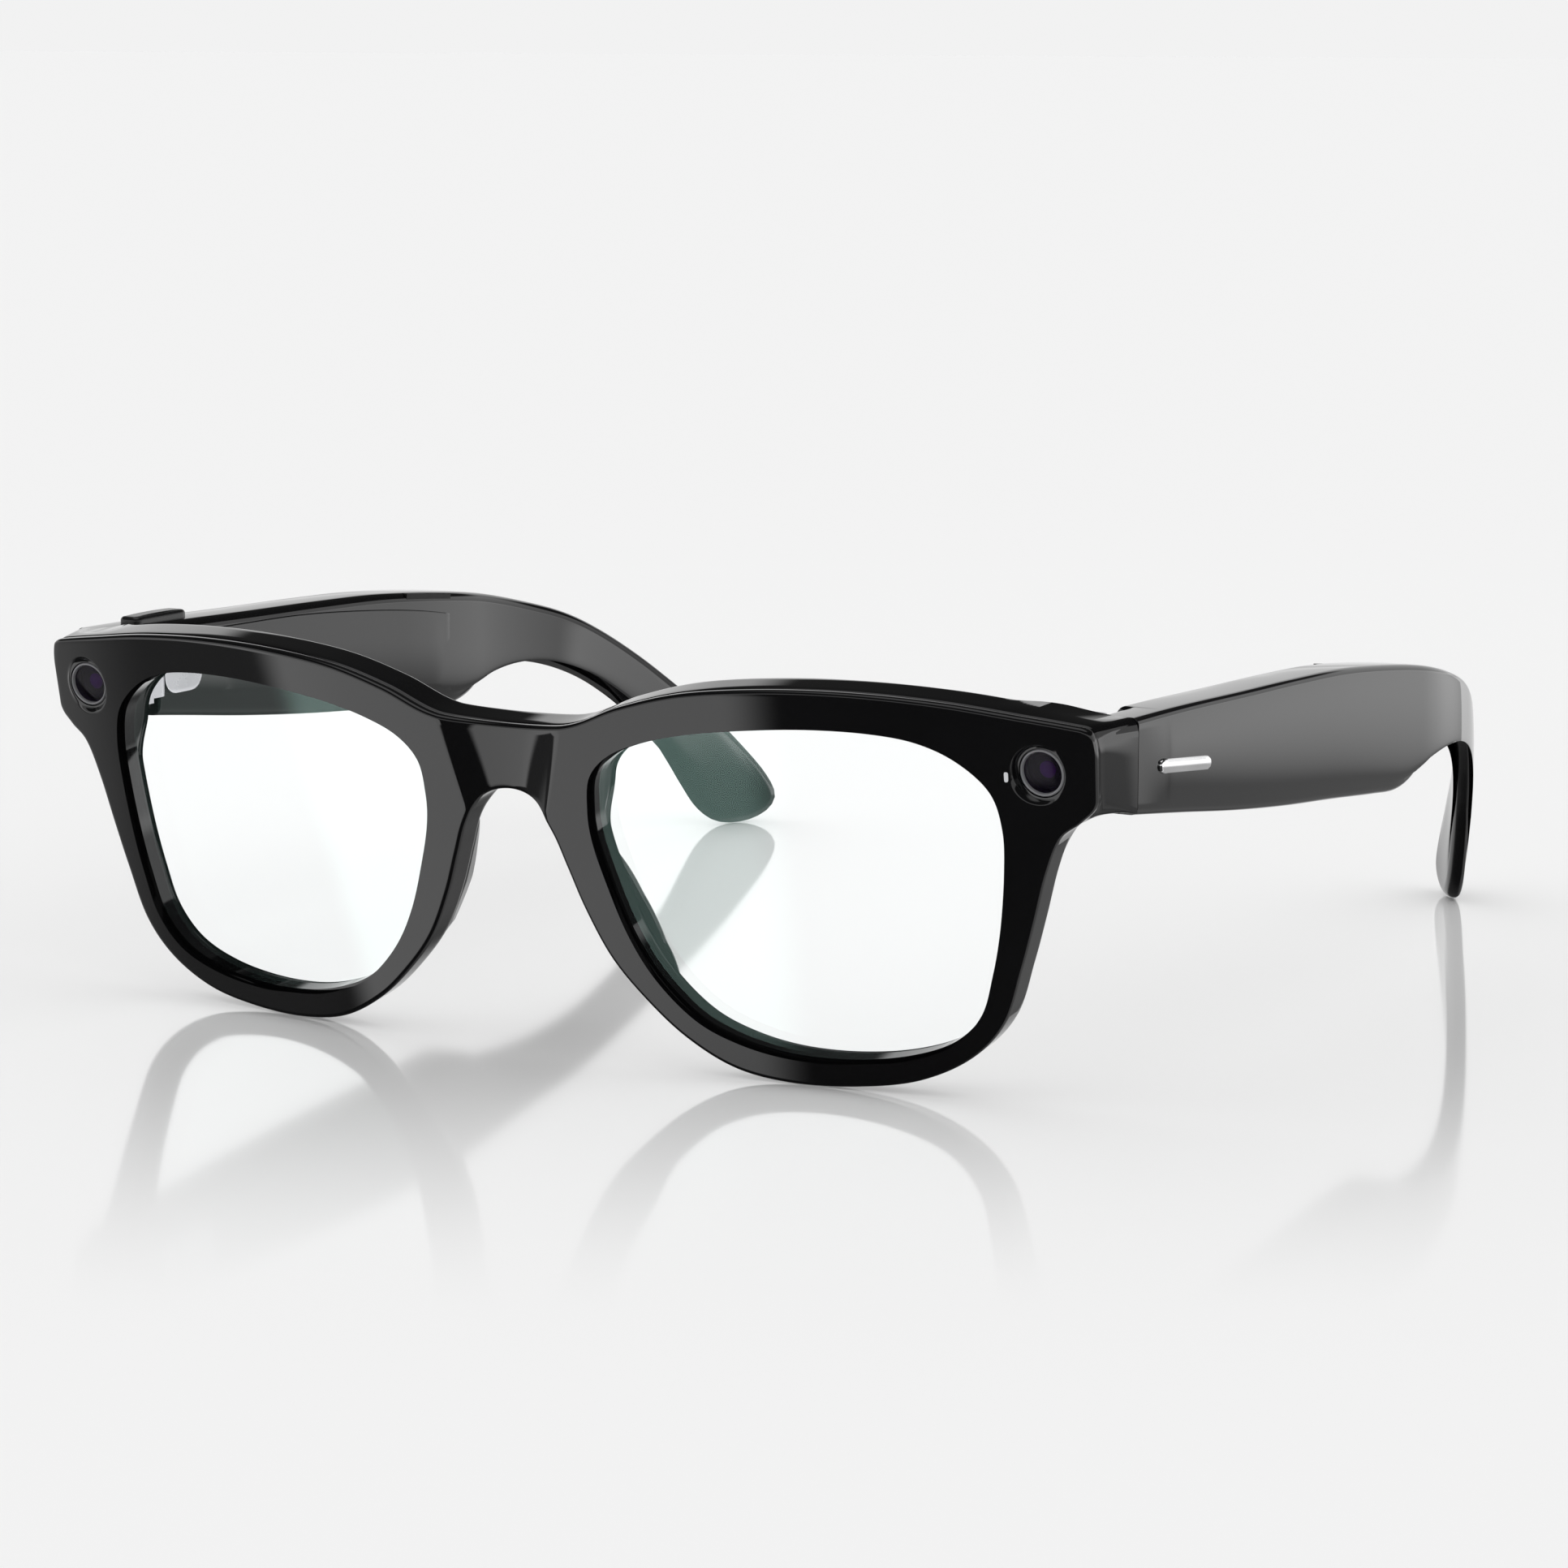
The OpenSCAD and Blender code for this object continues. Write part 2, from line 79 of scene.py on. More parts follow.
# Outlines of the front: x and height up the leaning front.
TOP = [(-9, 40.2), (0, 39.4), (9, 40.2), (16, 42.8), (24, 44.8), (34, 45.7), (44, 45.7), (54, 44.9), (63, 43.5),
       (68.2, 42.6), (69.8, 42.2), (70.5, 41.4), (70.8, 39), (70.6, 34)]
SIDE = [(70.8, 39), (70.6, 34), (68.8, 31.8), (66.4, 29.9), (64.6, 25.7), (63, 20.2), (61.3, 14.7), (59, 8.4),
        (55, 4.1), (49, 1.2), (42, 0), (34, -0.2), (27, 1), (21, 4.2), (16, 8.6), (12.2, 13.1), (9.4, 18.5),
        (7.5, 23.4), (5.9, 27.4), (3.6, 30.7), (0, 31.7), (-3.6, 30.7)]
OPENING = [(10.6, 30.6), (11.3, 34.6), (14.2, 37.5), (19, 39.4), (25, 40.7), (32, 41.5), (39, 41.9), (46, 41.7),
           (51.5, 40.8), (56, 38.7), (59.5, 35.3), (60.7, 31), (60.6, 26), (59.8, 19.5), (58.6, 14), (56.9, 9),
           (53.2, 5.2), (47.5, 3.1), (40.5, 2.2), (33.5, 2.4), (27.5, 3.7), (22.3, 6.1), (17.6, 10.6),
           (14.4, 15.9), (12, 22.5), (10.8, 27)]

# Side view of a temple: y and height, along the top to the tip and back along the bottom.
TEMPLE = [(-6, 43.6), (8.15, 43.6), (22, 43.4), (38, 42.9), (52, 42.5), (66, 41.9), (80, 40.6), (92, 39),
          (103, 36.7), (112, 34.2), (119, 31), (126, 26.5), (132.5, 21.2), (138, 16.1), (142.2, 11.3),
          (145.2, 7.2), (146.5, 3.9), (145.3, 1.5), (142.2, 0.2), (138.6, 0.5), (135.7, 2.8), (133.4, 6.4),
          (131.2, 10.2), (128.7, 14.1), (125.7, 17.7), (122.4, 21.3), (118.4, 24.6), (113.6, 27.3), (108, 28.9),
          (102, 29.4), (96, 28.7), (91.2, 27.3), (87, 25.5), (82.5, 24.8), (76, 25.3), (64, 26.5), (50, 27.8),
          (36, 29.4), (22, 31.3), (8.15, 33.1), (-6, 34.9)]
COVER_TOP = [(20, 42.2), (28.8, 41.8), (46, 41.4), (60, 40.4), (72, 39.1), (81.4, 37.6), (90, 36)]
COVER_LOW = [(20, 33.9), (28.8, 33), (46, 30.8), (64, 28.6), (81.4, 26.9), (90, 26)]

# Side view of a nose pad: depth behind the front face and height up the front.
PAD_SIDE = [(2, 28.6), (3.6, 27.8), (5.1, 26.2), (6.5, 23.6), (7.3, 20.3), (7.5, 16.5), (7, 12.8), (5.6, 9.8),
            (3.6, 8), (2, 7.4)]


# ---------------------------------------------------------------- curves
def bend(a, b, c, d, t):
    return 0.5 * (2 * b + (c - a) * t + (2 * a - 5 * b + 4 * c - d) * t ** 2 + (3 * b - a - 3 * c + d) * t ** 3)


def through(points, closed=False, steps=24):
    """A smooth curve through the points. An open one leaves out its first and last point."""
    p = np.array(points, float)
    if closed:
        p = np.vstack([p[-1:], p, p[:2]])
    t = np.linspace(0, 1, steps, endpoint=False)[:, None]
    parts = [bend(p[i - 1], p[i], p[i + 1], p[i + 2], t) for i in range(1, len(p) - 2)]
    return np.vstack(parts + [p[-2:-1]])


def spaced(curve, count):
    """count + 1 points at even distances along a curve."""
    run = np.concatenate([[0], np.cumsum(np.linalg.norm(np.diff(curve, axis=0), axis=1))])
    at = np.linspace(0, run[-1], count + 1)
    return np.stack([np.interp(at, run, curve[:, k]) for k in range(curve.shape[1])], 1)


def length(curve):
    return float(np.linalg.norm(np.diff(curve, axis=0), axis=1).sum())


def nearest(curve, point):
    return int(np.argmin(np.linalg.norm(curve - np.array(point, float), axis=1)))


def stretch(curve, a, b):
    """The part of a curve from near a to near b. On a closed curve it may pass the curve's start."""
    i, j = nearest(curve, a), nearest(curve, b)
    if j > i:
        return curve[i:j + 1]
    return np.vstack([curve[i:-1], curve[:j + 1]])


def normals(curve, closed=False):
    """Unit vectors to the left of a curve's direction."""
    if closed:
        t = np.roll(curve, -1, 0) - np.roll(curve, 1, 0)
    else:
        t = np.gradient(curve, axis=0)
    t = t / np.maximum(np.linalg.norm(t, axis=1), 1e-12)[:, None]
    return np.stack([-t[:, 1], t[:, 0]], 1)


def smooth(a, b, x):
    t = np.clip((np.asarray(x, float) - a) / (b - a), 0, 1)
    return t * t * (3 - 2 * t)


def arc(r, count):
    """A quarter round as (inset from the edge, drop below the face), from the wall to the face."""
    a = np.linspace(0, math.pi / 2, count + 1)
    return [(r * (1 - math.cos(t)), r * (1 - math.sin(t))) for t in a]


# ---------------------------------------------------------------- placing
def placed(points, side=1):
    """Points of the wearer's left half, in millimetres, to the row frame in metres."""
    p = np.array(points, float)
    return np.stack([side * p[:, 0], p[:, 1] - MID_Y, p[:, 2] - STAND], 1) * MM


def leaning(points):
    """Points of the leaning front (x, depth, height up the front) before it leans."""
    p = np.array(points, float)
    c, s = math.cos(LEAN), math.sin(LEAN)
    return np.stack([p[:, 0], p[:, 1] * c - p[:, 2] * s, p[:, 1] * s + p[:, 2] * c], 1)


class Shape:
    """Points and faces of one mesh while it is built."""

    def __init__(self):
        self.points = []
        self.faces = []

    def row(self, points):
        start = len(self.points)
        self.points.extend([tuple(p) for p in points])
        return list(range(start, len(self.points)))

    def band(self, a, b, closed=False):
        """Quads between two rows of equal length."""
        n = len(a)
        for i in range(n if closed else n - 1):
            j = (i + 1) % n
            self.faces.append([a[i], a[j], b[j], b[i]])

    def lathe(self, profile, count, spin):
        """Turns a profile of (radius, depth) points; spin gives a point from a radius, an angle and a depth."""
        rows = []
        for r, d in profile:
            turns = [2 * math.pi * k / count for k in range(count)]
            rows.append(self.row([spin(r, t, d) for t in turns]) if r > 1e-6 else self.row([spin(0, 0, d)]))
        for a, b in zip(rows, rows[1:]):
            if len(a) == 1:
                self.faces.extend([[a[0], b[k], b[(k + 1) % count]] for k in range(count)])
            elif len(b) == 1:
                self.faces.extend([[a[k], b[0], a[(k + 1) % count]] for k in range(count)])
            else:
                self.band(a, b, closed=True)


def make(name, shape, body, material, side=1, sharp=35, merge=1e-7, creases=()):
    """A piece from a shape in millimetres, on its body and material."""
    mesh = bpy.data.meshes.new(name)
    mesh.from_pydata([tuple(p) for p in placed(shape.points, side)], [], shape.faces)
    work = bmesh.new()
    work.from_mesh(mesh)
    bmesh.ops.remove_doubles(work, verts=work.verts, dist=merge)
    bmesh.ops.recalc_face_normals(work, faces=work.faces)
    work.to_mesh(mesh)
    work.free()
    mesh.polygons.foreach_set("use_smooth", [True] * len(mesh.polygons))
    mesh.set_sharp_from_angle(angle=math.radians(sharp))
    if creases:
        mark_creases(mesh, creases)
    piece = bpy.data.objects.new(name, mesh)
    scene.collection.objects.link(piece)
    mesh.materials.append(material)
    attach(piece, body)
    return piece


def mark_creases(mesh, lines):
    """Edges along the given lines of points (row frame, metres) get a hard edge."""
    co = np.array([v.co for v in mesh.vertices])
    near = {int(np.argmin(((co - k) ** 2).sum(1))) for line in lines for k in line}
    hard = mesh.attributes.get("sharp_edge") or mesh.attributes.new("sharp_edge", "BOOLEAN", "EDGE")
    for edge in mesh.edges:
        if edge.vertices[0] in near and edge.vertices[1] in near:
            hard.data[edge.index].value = True


# ---------------------------------------------------------------- materials
def material(name, colour, rough, metal=0.0, coat=0.0, ior=1.5, specular=0.5,
             mottle=0.15, grain=0.0, grain_size=9000.0, spread=0.06):
    """A Principled surface whose colour and roughness vary a little, with an optional fine bump."""
    m = bpy.data.materials.new(name)
    m.use_nodes = True
    nodes, links = m.node_tree.nodes, m.node_tree.links
    shader = nodes["Principled BSDF"]
    shader.inputs["Metallic"].default_value = metal
    shader.inputs["IOR"].default_value = ior
    shader.inputs["Specular IOR Level"].default_value = specular
    shader.inputs["Coat Weight"].default_value = coat
    shader.inputs["Coat Roughness"].default_value = 0.02
    place = nodes.new("ShaderNodeTexCoord")
    cloud = nodes.new("ShaderNodeTexNoise")
    cloud.inputs["Scale"].default_value = 70.0
    cloud.inputs["Detail"].default_value = 5.0
    links.new(place.outputs["Object"], cloud.inputs["Vector"])
    tint = nodes.new("ShaderNodeValToRGB")
    for stop, k in zip(tint.color_ramp.elements, (1 - mottle, 1 + mottle)):
        stop.color = (colour[0] * k, colour[1] * k, colour[2] * k, 1)
    tint.color_ramp.elements[0].position = 0.3
    tint.color_ramp.elements[1].position = 0.7
    links.new(cloud.outputs["Fac"], tint.inputs["Fac"])
    links.new(tint.outputs["Color"], shader.inputs["Base Color"])
    fine = nodes.new("ShaderNodeTexNoise")
    fine.inputs["Scale"].default_value = 900.0
    fine.inputs["Detail"].default_value = 3.0
    links.new(place.outputs["Object"], fine.inputs["Vector"])
    polish = nodes.new("ShaderNodeMapRange")
    polish.inputs["To Min"].default_value = max(0.0, rough - spread / 2)
    polish.inputs["To Max"].default_value = rough + spread / 2
    links.new(fine.outputs["Fac"], polish.inputs["Value"])
    links.new(polish.outputs["Result"], shader.inputs["Roughness"])
    if grain:
        pores = nodes.new("ShaderNodeTexNoise")
        pores.inputs["Scale"].default_value = grain_size
        links.new(place.outputs["Object"], pores.inputs["Vector"])
        bump = nodes.new("ShaderNodeBump")
        bump.inputs["Strength"].default_value = grain
        bump.inputs["Distance"].default_value = 0.00002
        links.new(pores.outputs["Fac"], bump.inputs["Height"])
        links.new(bump.outputs["Normal"], shader.inputs["Normal"])
    return m


def see_through(sheet, share, tint):
    """Mixes a Principled sheet with a Transparent one: share is how much of the sheet shows."""
    nodes, links = sheet.node_tree.nodes, sheet.node_tree.links
    clear = nodes.new("ShaderNodeBsdfTransparent")
    clear.inputs["Color"].default_value = (*tint, 1)
    mix = nodes.new("ShaderNodeMixShader")
    mix.inputs["Fac"].default_value = share
    links.new(clear.outputs[0], mix.inputs[1])
    links.new(nodes["Principled BSDF"].outputs[0], mix.inputs[2])
    links.new(mix.outputs[0], nodes["Material Output"].inputs["Surface"])
    return sheet


GLOSS = material("gloss_black", (0.0032, 0.0032, 0.0036), 0.035, ior=1.52, spread=0.02)
SHELL = material("inner_black", (0.0036, 0.0036, 0.004), 0.08, ior=1.52, spread=0.02)
SATIN = material("satin_black", (0.0065, 0.0065, 0.007), 0.34, grain=0.25, grain_size=6000)
PAD = material("pad_black", (0.006, 0.006, 0.0065), 0.16, grain=0.02, spread=0.04)
BUTTON = material("button_black", (0.008, 0.008, 0.0085), 0.24, grain=0.12, grain_size=7000)
RING = material("ring_metal", (0.24, 0.24, 0.25), 0.34, metal=0.35, grain=0.08)
MODULE = material("module_black", (0.003, 0.003, 0.0035), 0.4, specular=0.3, grain=0.2)
BOARD = material("circuit_board", (0.02, 0.1, 0.05), 0.45, grain=0.5, grain_size=2500, mottle=0.4)
LIGHT = material("light_pipe", (0.62, 0.63, 0.64), 0.2)
FILM = material("flex_film", (0.35, 0.15, 0.03), 0.3, mottle=0.3)
GOLD = material("contact_gold", (0.78, 0.56, 0.24), 0.22, metal=1.0, grain=0.1)
MESH = material("mesh_black", (0.002, 0.002, 0.002), 0.6, grain=0.6, grain_size=4000)
STEEL = material("hinge_steel", (0.52, 0.52, 0.54), 0.28, metal=1.0, grain=0.2, grain_size=3500)
POLISHED = material("polished_metal", (0.82, 0.82, 0.83), 0.1, metal=1.0, grain=0.04)
CORE = material("core_steel", (0.45, 0.45, 0.46), 0.35, metal=1.0, grain=0.2)
FOIL = material("battery_foil", (0.6, 0.62, 0.65), 0.3, metal=1.0, grain=0.4, grain_size=1500)
# The camera eye's purple base colour is a painted glint: it stands in for the purple reflection off the camera
# lens.
EYE_GLINT_PAINT = material("camera_eye_painted_glint", (0.3, 0.02, 0.6), 0.12, mottle=0.5)
# The lens's see-through tint is above 1, so the lens adds light to what shows through it: painted light that
# brightens the lens area.
LENS = see_through(material("lens_clear", (0.5, 0.78, 0.7), 0.01, metal=1.0, spread=0.0, mottle=0.04),
                   0.04, (1.09, 1.096, 1.096))
GLASS = see_through(material("camera_glass", (0.003, 0.002, 0.006), 0.03, specular=0.2, spread=0.01),
                    0.5, (0.9, 0.85, 0.95))

SLOT_LOOK = {
    "gloss_black": GLOSS, "satin_black": SATIN, "button_black": BUTTON, "lens_clear": LENS,
    "ring_metal": RING, "camera_glass": GLASS, "module_black": MODULE, "circuit_board": BOARD,
    "light_pipe": LIGHT, "flex_film": FILM, "contact_gold": GOLD, "mesh_black": MESH,
    "hinge_steel": STEEL, "polished_metal": POLISHED, "core_steel": CORE, "battery_foil": FOIL,
}
for part in frame["record"]["subparts"]:
    node = frame["nodes"][part["node"]]
    node.data.materials.clear()
    node.data.materials.append(SLOT_LOOK[part["material_slot"]])


# ---------------------------------------------------------------- the front
EDGE_R = 0.45
BACK_R = 0.85
INNER_R = 0.4
GROOVE = 0.6
BRIDGE_DIP = 1.1
FACE_COLS = 22
BACK_COLS = 8
CREASE_TOP = (8.2, 40)
CREASE_LOW = (5.2, 28.7)
HOLE_R = 3.7


def wrap(x, t=0.0):
    """Depth of a surface t behind the wrapped front."""
    return WRAP_R - np.sqrt((WRAP_R - t) ** 2 - np.asarray(x, float) ** 2)


def crease_x(z):
    k = (CREASE_TOP[0] - CREASE_LOW[0]) / (CREASE_TOP[1] - CREASE_LOW[1])
    return CREASE_LOW[0] + (z - CREASE_LOW[1]) * k


def face_depth(x, z):
    """Depth of the front face, with the hollow facet across the bridge."""
    u = np.abs(x) / crease_x(z)
    return wrap(x) + BRIDGE_DIP * np.clip(1 - u * u, 0, None)


def body_t(z):
    """Thickness: the brow is thicker than the lower rims."""
    return RIM_T + (BROW_T - RIM_T) * smooth(27, 33, z)


def back_depth(x, z):
    """Depth of the back, which steps out to the flat at the seam in the end piece and never passes it."""
    flat = (SEAM_Y - 0.05 + z * math.sin(LEAN)) / math.cos(LEAN)
    plain = np.minimum(wrap(x, body_t(z)), flat)
    return plain + (flat - plain) * smooth(60.4, 62.2, x) * smooth(30.5, 33.5, z)


def front_ring():
    """Matching points around the rim: outer outline with its normals, inner outline with its normals."""
    outer = np.vstack([through(TOP)[:-1], through(SIDE)])
    inner = through(OPENING, closed=True)
    inner = inner[::-1] if nearest(inner, (25, 40.7)) > nearest(inner, (46, 41.7)) else inner
    pairs = [(CREASE_TOP, (11.6, 35.2), 0), ((24, 44.8), (19.5, 39.5), 0.62), ((54, 45.1), (49, 41.4), 0.8),
             ((61.5, 44.2), (55.4, 39.1), 0.5), ((70.2, 42.6), (58.9, 36.2), 0.36),
             ((70.8, 36.6), (60.2, 33.4), 0.36), ((69.6, 32.8), (60.7, 31), 0.36),
             ((66.4, 29.9), (60.8, 28.6), 0.42), ((61.3, 14.7), (59, 15.5), 0.6), ((55, 4.1), (54.8, 6.5), 0.5),
             ((38, -0.3), (38.5, 2.2), 0.65), ((21, 4.2), (22.3, 6.1), 0.65), ((9.4, 18.5), (13, 19.6), 0.65),
             (CREASE_LOW, (10.65, 28.2), 0.6)]
    out, inn = [], []
    for (a, i, _), (b, j, step) in zip(pairs, pairs[1:]):
        piece = stretch(outer, a, b)
        count = max(2, round(length(piece) / step))
        out.append(spaced(piece, count)[:-1])
        inn.append(spaced(stretch(inner, i, j), count)[:-1])
    out.append(outer[nearest(outer, CREASE_LOW)][None])
    rows = 16
    inn.append(spaced(stretch(inner, (10.65, 28.2), (11.6, 35.2)), rows)[:-1])
    out, inn = np.vstack(out), np.vstack(inn)
    n_out = normals(out)
    n_in = normals(inn, closed=True)
    return out, n_out, inn, n_in, rows


def edge_profile(t, groove):
    """The outer wall as (depth, height over the outline), from the front face to the back."""
    front = [(EDGE_R - EDGE_R * math.cos(a), EDGE_R * math.sin(a) - EDGE_R)
             for a in np.linspace(0, math.pi / 2, 6)[1:]]
    step = [(0.86, 0), (0.98, -0.03), (1.06, -0.15), (1.14, -0.19), (1.24, -0.17), (1.36, -0.07),
            (1.46, -0.02), (1.6, 0)]
    step = [(d, h * groove) for d, h in step]
    wall = [(2.4, 0), (t - BACK_R - 0.5, 0)]
    back = [(t - BACK_R + BACK_R * math.sin(a), BACK_R * math.cos(a) - BACK_R)
            for a in np.linspace(0, math.pi / 2, 7)]
    return front + step + wall + back


def seam_point(x, z):
    """Where the end piece's outline reaches at the seam, from the outline point at the front."""
    wide = min(TEMPLE_X - 0.1, x + (TEMPLE_X - 70.7) * float(smooth(62, 70.2, x)))
    return np.array([wide, SEAM_Y + 0.02, max(SEAM_LOW, min(SEAM_TOP, SEAM_LOW + 1.27 * (z - 34)))])


def end_top(x, z, goal):
    """The top of the end piece behind one outline point: a crest, then down to the seam."""
    face = float(face_depth(x, z))
    reach = (goal[1] + z * math.sin(LEAN)) / math.cos(LEAN) - face
    crest = 4.9 + (reach - 5.0) * float(smooth(54, 68, x))
    over = leaning([(x, face + reach, z)])[0][2] - goal[2]
    points = []
    for d in (0.5 * (1.6 + crest), crest):
        q = leaning([(x, face + d, z)])[0]
        q[0] += (goal[0] - x) * d / reach
        q[2] -= over * float(smooth(60, 70, x)) * d / reach
        points.append(q)
    return points + [points[1] + (goal - points[1]) * k / 7 for k in range(1, 8)]


def hole_grid(grid):
    """Opens a round hole for the camera in the grid of face points and evens out the points around it."""
    centre = np.array([CAMERA_X, CAMERA_Z])
    gap = np.linalg.norm(grid - centre, axis=2)
    i0, j0 = np.unravel_index(np.argmin(gap), gap.shape)
    half_i = next(k for k in range(2, 40) if gap[i0 + k, j0] > 0.86 * HOLE_R)
    low_j = next(j0 - k for k in range(2, 20) if gap[i0, j0 - k] > 0.86 * HOLE_R)
    high_j = next(j0 + k for k in range(2, 20) if gap[i0, j0 + k] > 0.86 * HOLE_R)
    a, b, c, d = i0 - half_i, i0 + half_i, low_j, high_j
    ring = [(i, c) for i in range(a, b)] + [(b, j) for j in range(c, d)]
    ring += [(i, d) for i in range(b, a, -1)] + [(a, j) for j in range(d, c, -1)]
    where = np.array([grid[p] for p in ring]) - centre
    angle = np.unwrap(np.arctan2(where[:, 1], where[:, 0]))
    turn = -1 if angle[-1] < angle[0] else 1
    even = turn * np.arange(len(ring)) * 2 * math.pi / len(ring)
    even = even + np.mean(angle - even)
    out = grid.copy()
    for p, t in zip(ring, even):
        out[p] = centre + HOLE_R * np.array([math.cos(t), math.sin(t)])
    fixed = np.ones(gap.shape, bool)
    fixed[a - 14:b + 15, 1:-1] = False
    for p in ring:
        fixed[p] = True
    fixed[a + 1:b, c + 1:d] = True
    for _ in range(400):
        mean = (np.roll(out, 1, 0) + np.roll(out, -1, 0) + np.roll(out, 1, 1) + np.roll(out, -1, 1)) / 4
        out[~fixed] = mean[~fixed]
    inside = {(i, j) for i in range(a, b) for j in range(c, d)}
    return out, ring, inside


def front_half():
    """One half of the front, from the end piece to the middle of the bridge, and the crease line on it."""
    shape = Shape()
    out, n_out, inn, n_in, rows = front_ring()
    m = len(out)
    inset = out - n_out * EDGE_R
    mouth = inn - n_in * INNER_R
    crease = inset[-1] + (inset[0] - inset[-1]) * np.arange(1, rows)[:, None] / rows
    rim = np.vstack([inset, crease])
    cols = np.linspace(0, 1, FACE_COLS + 1)[None, :, None]
    grid = mouth[:, None] * (1 - cols) + rim[:, None] * cols
    grid, ring, inside = hole_grid(grid)
    count = len(rim)
    face = []
    for i in range(count):
        flat = [(x, float(face_depth(x, z)), z) for x, z in grid[i]]
        face.append(shape.row(leaning(flat)))
    for i in range(count):
        j = (i + 1) % count
        for k in range(FACE_COLS):
            if (i, k) not in inside:
                shape.faces.append([face[i][k], face[j][k], face[j][k + 1], face[i][k + 1]])
    camera_seat(shape, [face[i][k] for i, k in ring], np.array([grid[p] for p in ring]))

    # The outer wall, from the outline's front rounding to its back rounding.
    walls = []
    for i in range(m):
        walls.append(shape.row(wall_points(out[i], n_out[i])))
    for a, b in zip(walls, walls[1:]):
        shape.band(a, b)
    for i in range(m - 1):
        shape.faces.append([face[i][-1], face[i + 1][-1], walls[i + 1][0], walls[i][0]])

    # The inner wall with the lens groove.
    inside_wall = [(INNER_R * (1 - math.cos(a)), INNER_R * (math.sin(a) - 1))
                   for a in np.linspace(0, math.pi / 2, 5)[1:]]
    inners = []
    for i in range(count):
        x, z = inn[i]
        t = float(back_depth(x, z) - wrap(x))
        profile = inside_wall + [(LENS_FRONT - 0.12, 0), (LENS_FRONT - 0.05, -GROOVE),
                                 (LENS_FRONT + LENS_T + 0.05, -GROOVE), (LENS_FRONT + LENS_T + 0.12, 0)]
        profile += [(t - 0.55, 0)] + [(t - 0.5 + 0.5 * math.sin(a), 0.5 * math.cos(a) - 0.5)
                                      for a in np.linspace(0, math.pi / 2, 4)[1:]]
        points = []
        for d, h in profile:
            px, pz = inn[i] + n_in[i] * h
            points.append((px, float(wrap(px)) + d, pz))
        inners.append(shape.row(leaning(points)))
    for i in range(count):
        shape.band(inners[i], inners[(i + 1) % count])
        shape.faces.append([face[i][0], face[(i + 1) % count][0], inners[(i + 1) % count][0], inners[i][0]])

    # The back face.
    rear = []
    for i in range(count):
        if i < m:
            edge = shape.points[walls[i][-1]]
        else:
            x, z = rim[i]
            edge = leaning([(x, float(back_depth(x, z)), z)])[0]
        start = np.array(shape.points[inners[i][-1]])
        edge = np.array(edge)
        line = start + (edge - start) * np.linspace(0, 1, BACK_COLS + 1)[:, None]
        c, s = math.cos(LEAN), math.sin(LEAN)
        points = []
        for k, p in enumerate(line):
            height = -p[1] * s + p[2] * c
            q = leaning([(p[0], float(back_depth(p[0], height)), height)])[0]
            keep = 1.0 if k in (0, BACK_COLS) else 0.0
            points.append(p * keep + q * (1 - keep))
        rear.append(shape.row(points))
    for i in range(count):
        shape.band(rear[i], rear[(i + 1) % count])
        shape.faces.append([inners[i][-1], inners[(i + 1) % count][-1], rear[(i + 1) % count][0], rear[i][0]])
    for i in range(m - 1):
        shape.faces.append([walls[i][-1], walls[i + 1][-1], rear[i + 1][-1], rear[i][-1]])

    # The bridge: the section along the crease is carried to the middle.
    loop = [face[i][-1] for i in range(m - 1, count)] + [face[0][-1]]
    loop += walls[0] + [rear[0][-1]] + [rear[i][-1] for i in range(count - 1, m - 2, -1)]
    loop += walls[m - 1][::-1]
    bridge_block(shape, loop, rows)
    return shape, [shape.points[face[i % count][-1]] for i in range(m - 1, count + 1)]


def wall_points(o, n):
    """The outer wall at one outline point; at the end piece it runs back to the seam."""
    x, z = o
    t = float(back_depth(min(x, 60.0), z) - wrap(min(x, 60.0)))
    groove = float(smooth(33, 36, z))
    profile = edge_profile(t, groove)
    points = []
    for d, h in profile:
        px, pz = o + n * h
        points.append((px, float(face_depth(px, pz)) + d, pz))
    points = leaning(points)
    share = float(smooth(58, 65, x) * smooth(29.5, 32.6, z))
    if share > 0:
        goal = seam_point(x, z)
        first = len(points) - 9
        base = points[first - 1]
        straight = [base + (goal - base) * k / 9 for k in range(1, 10)]
        up = float(smooth(0.1, 0.7, n[1]))
        for k, (flat, high) in enumerate(zip(straight, end_top(x, z, goal))):
            target = flat + (high - flat) * up
            points[first + k] = points[first + k] + (target - points[first + k]) * share
    return points


def camera_seat(shape, edge, flat):
    """The straight-facing round seat of a camera, let into the face."""
    count = len(edge)
    angle = [math.atan2(z - CAMERA_Z, x - CAMERA_X) for x, z in flat]
    levels = [(3.6, 0.0), (3.36, 0.15), (3.16, 0.7), (2.98, 1.0), (2.78, 1.0), (2.73, 1.12), (2.72, 2.2)]
    rows = [edge]
    for r, u in levels:
        points = []
        for t in angle:
            x, z = CAMERA_X + r * math.cos(t), CAMERA_Z + r * math.sin(t)
            seat = CAMERA_Y + 0.05 + max(0, u - 1) * 3.5
            surface = float(face_depth(x, z))
            depth = surface + (seat - surface) * min(1, u)
            points.append((x, depth, z))
        rows.append(shape.row(leaning(points)))
    for a, b in zip(rows, rows[1:]):
        shape.band(a, b, closed=True)
    middle = shape.row(leaning([(CAMERA_X, CAMERA_Y + 4.25, CAMERA_Z)]))[0]
    last = rows[-1]
    shape.faces.extend([[last[k], last[(k + 1) % count], middle] for k in range(count)])


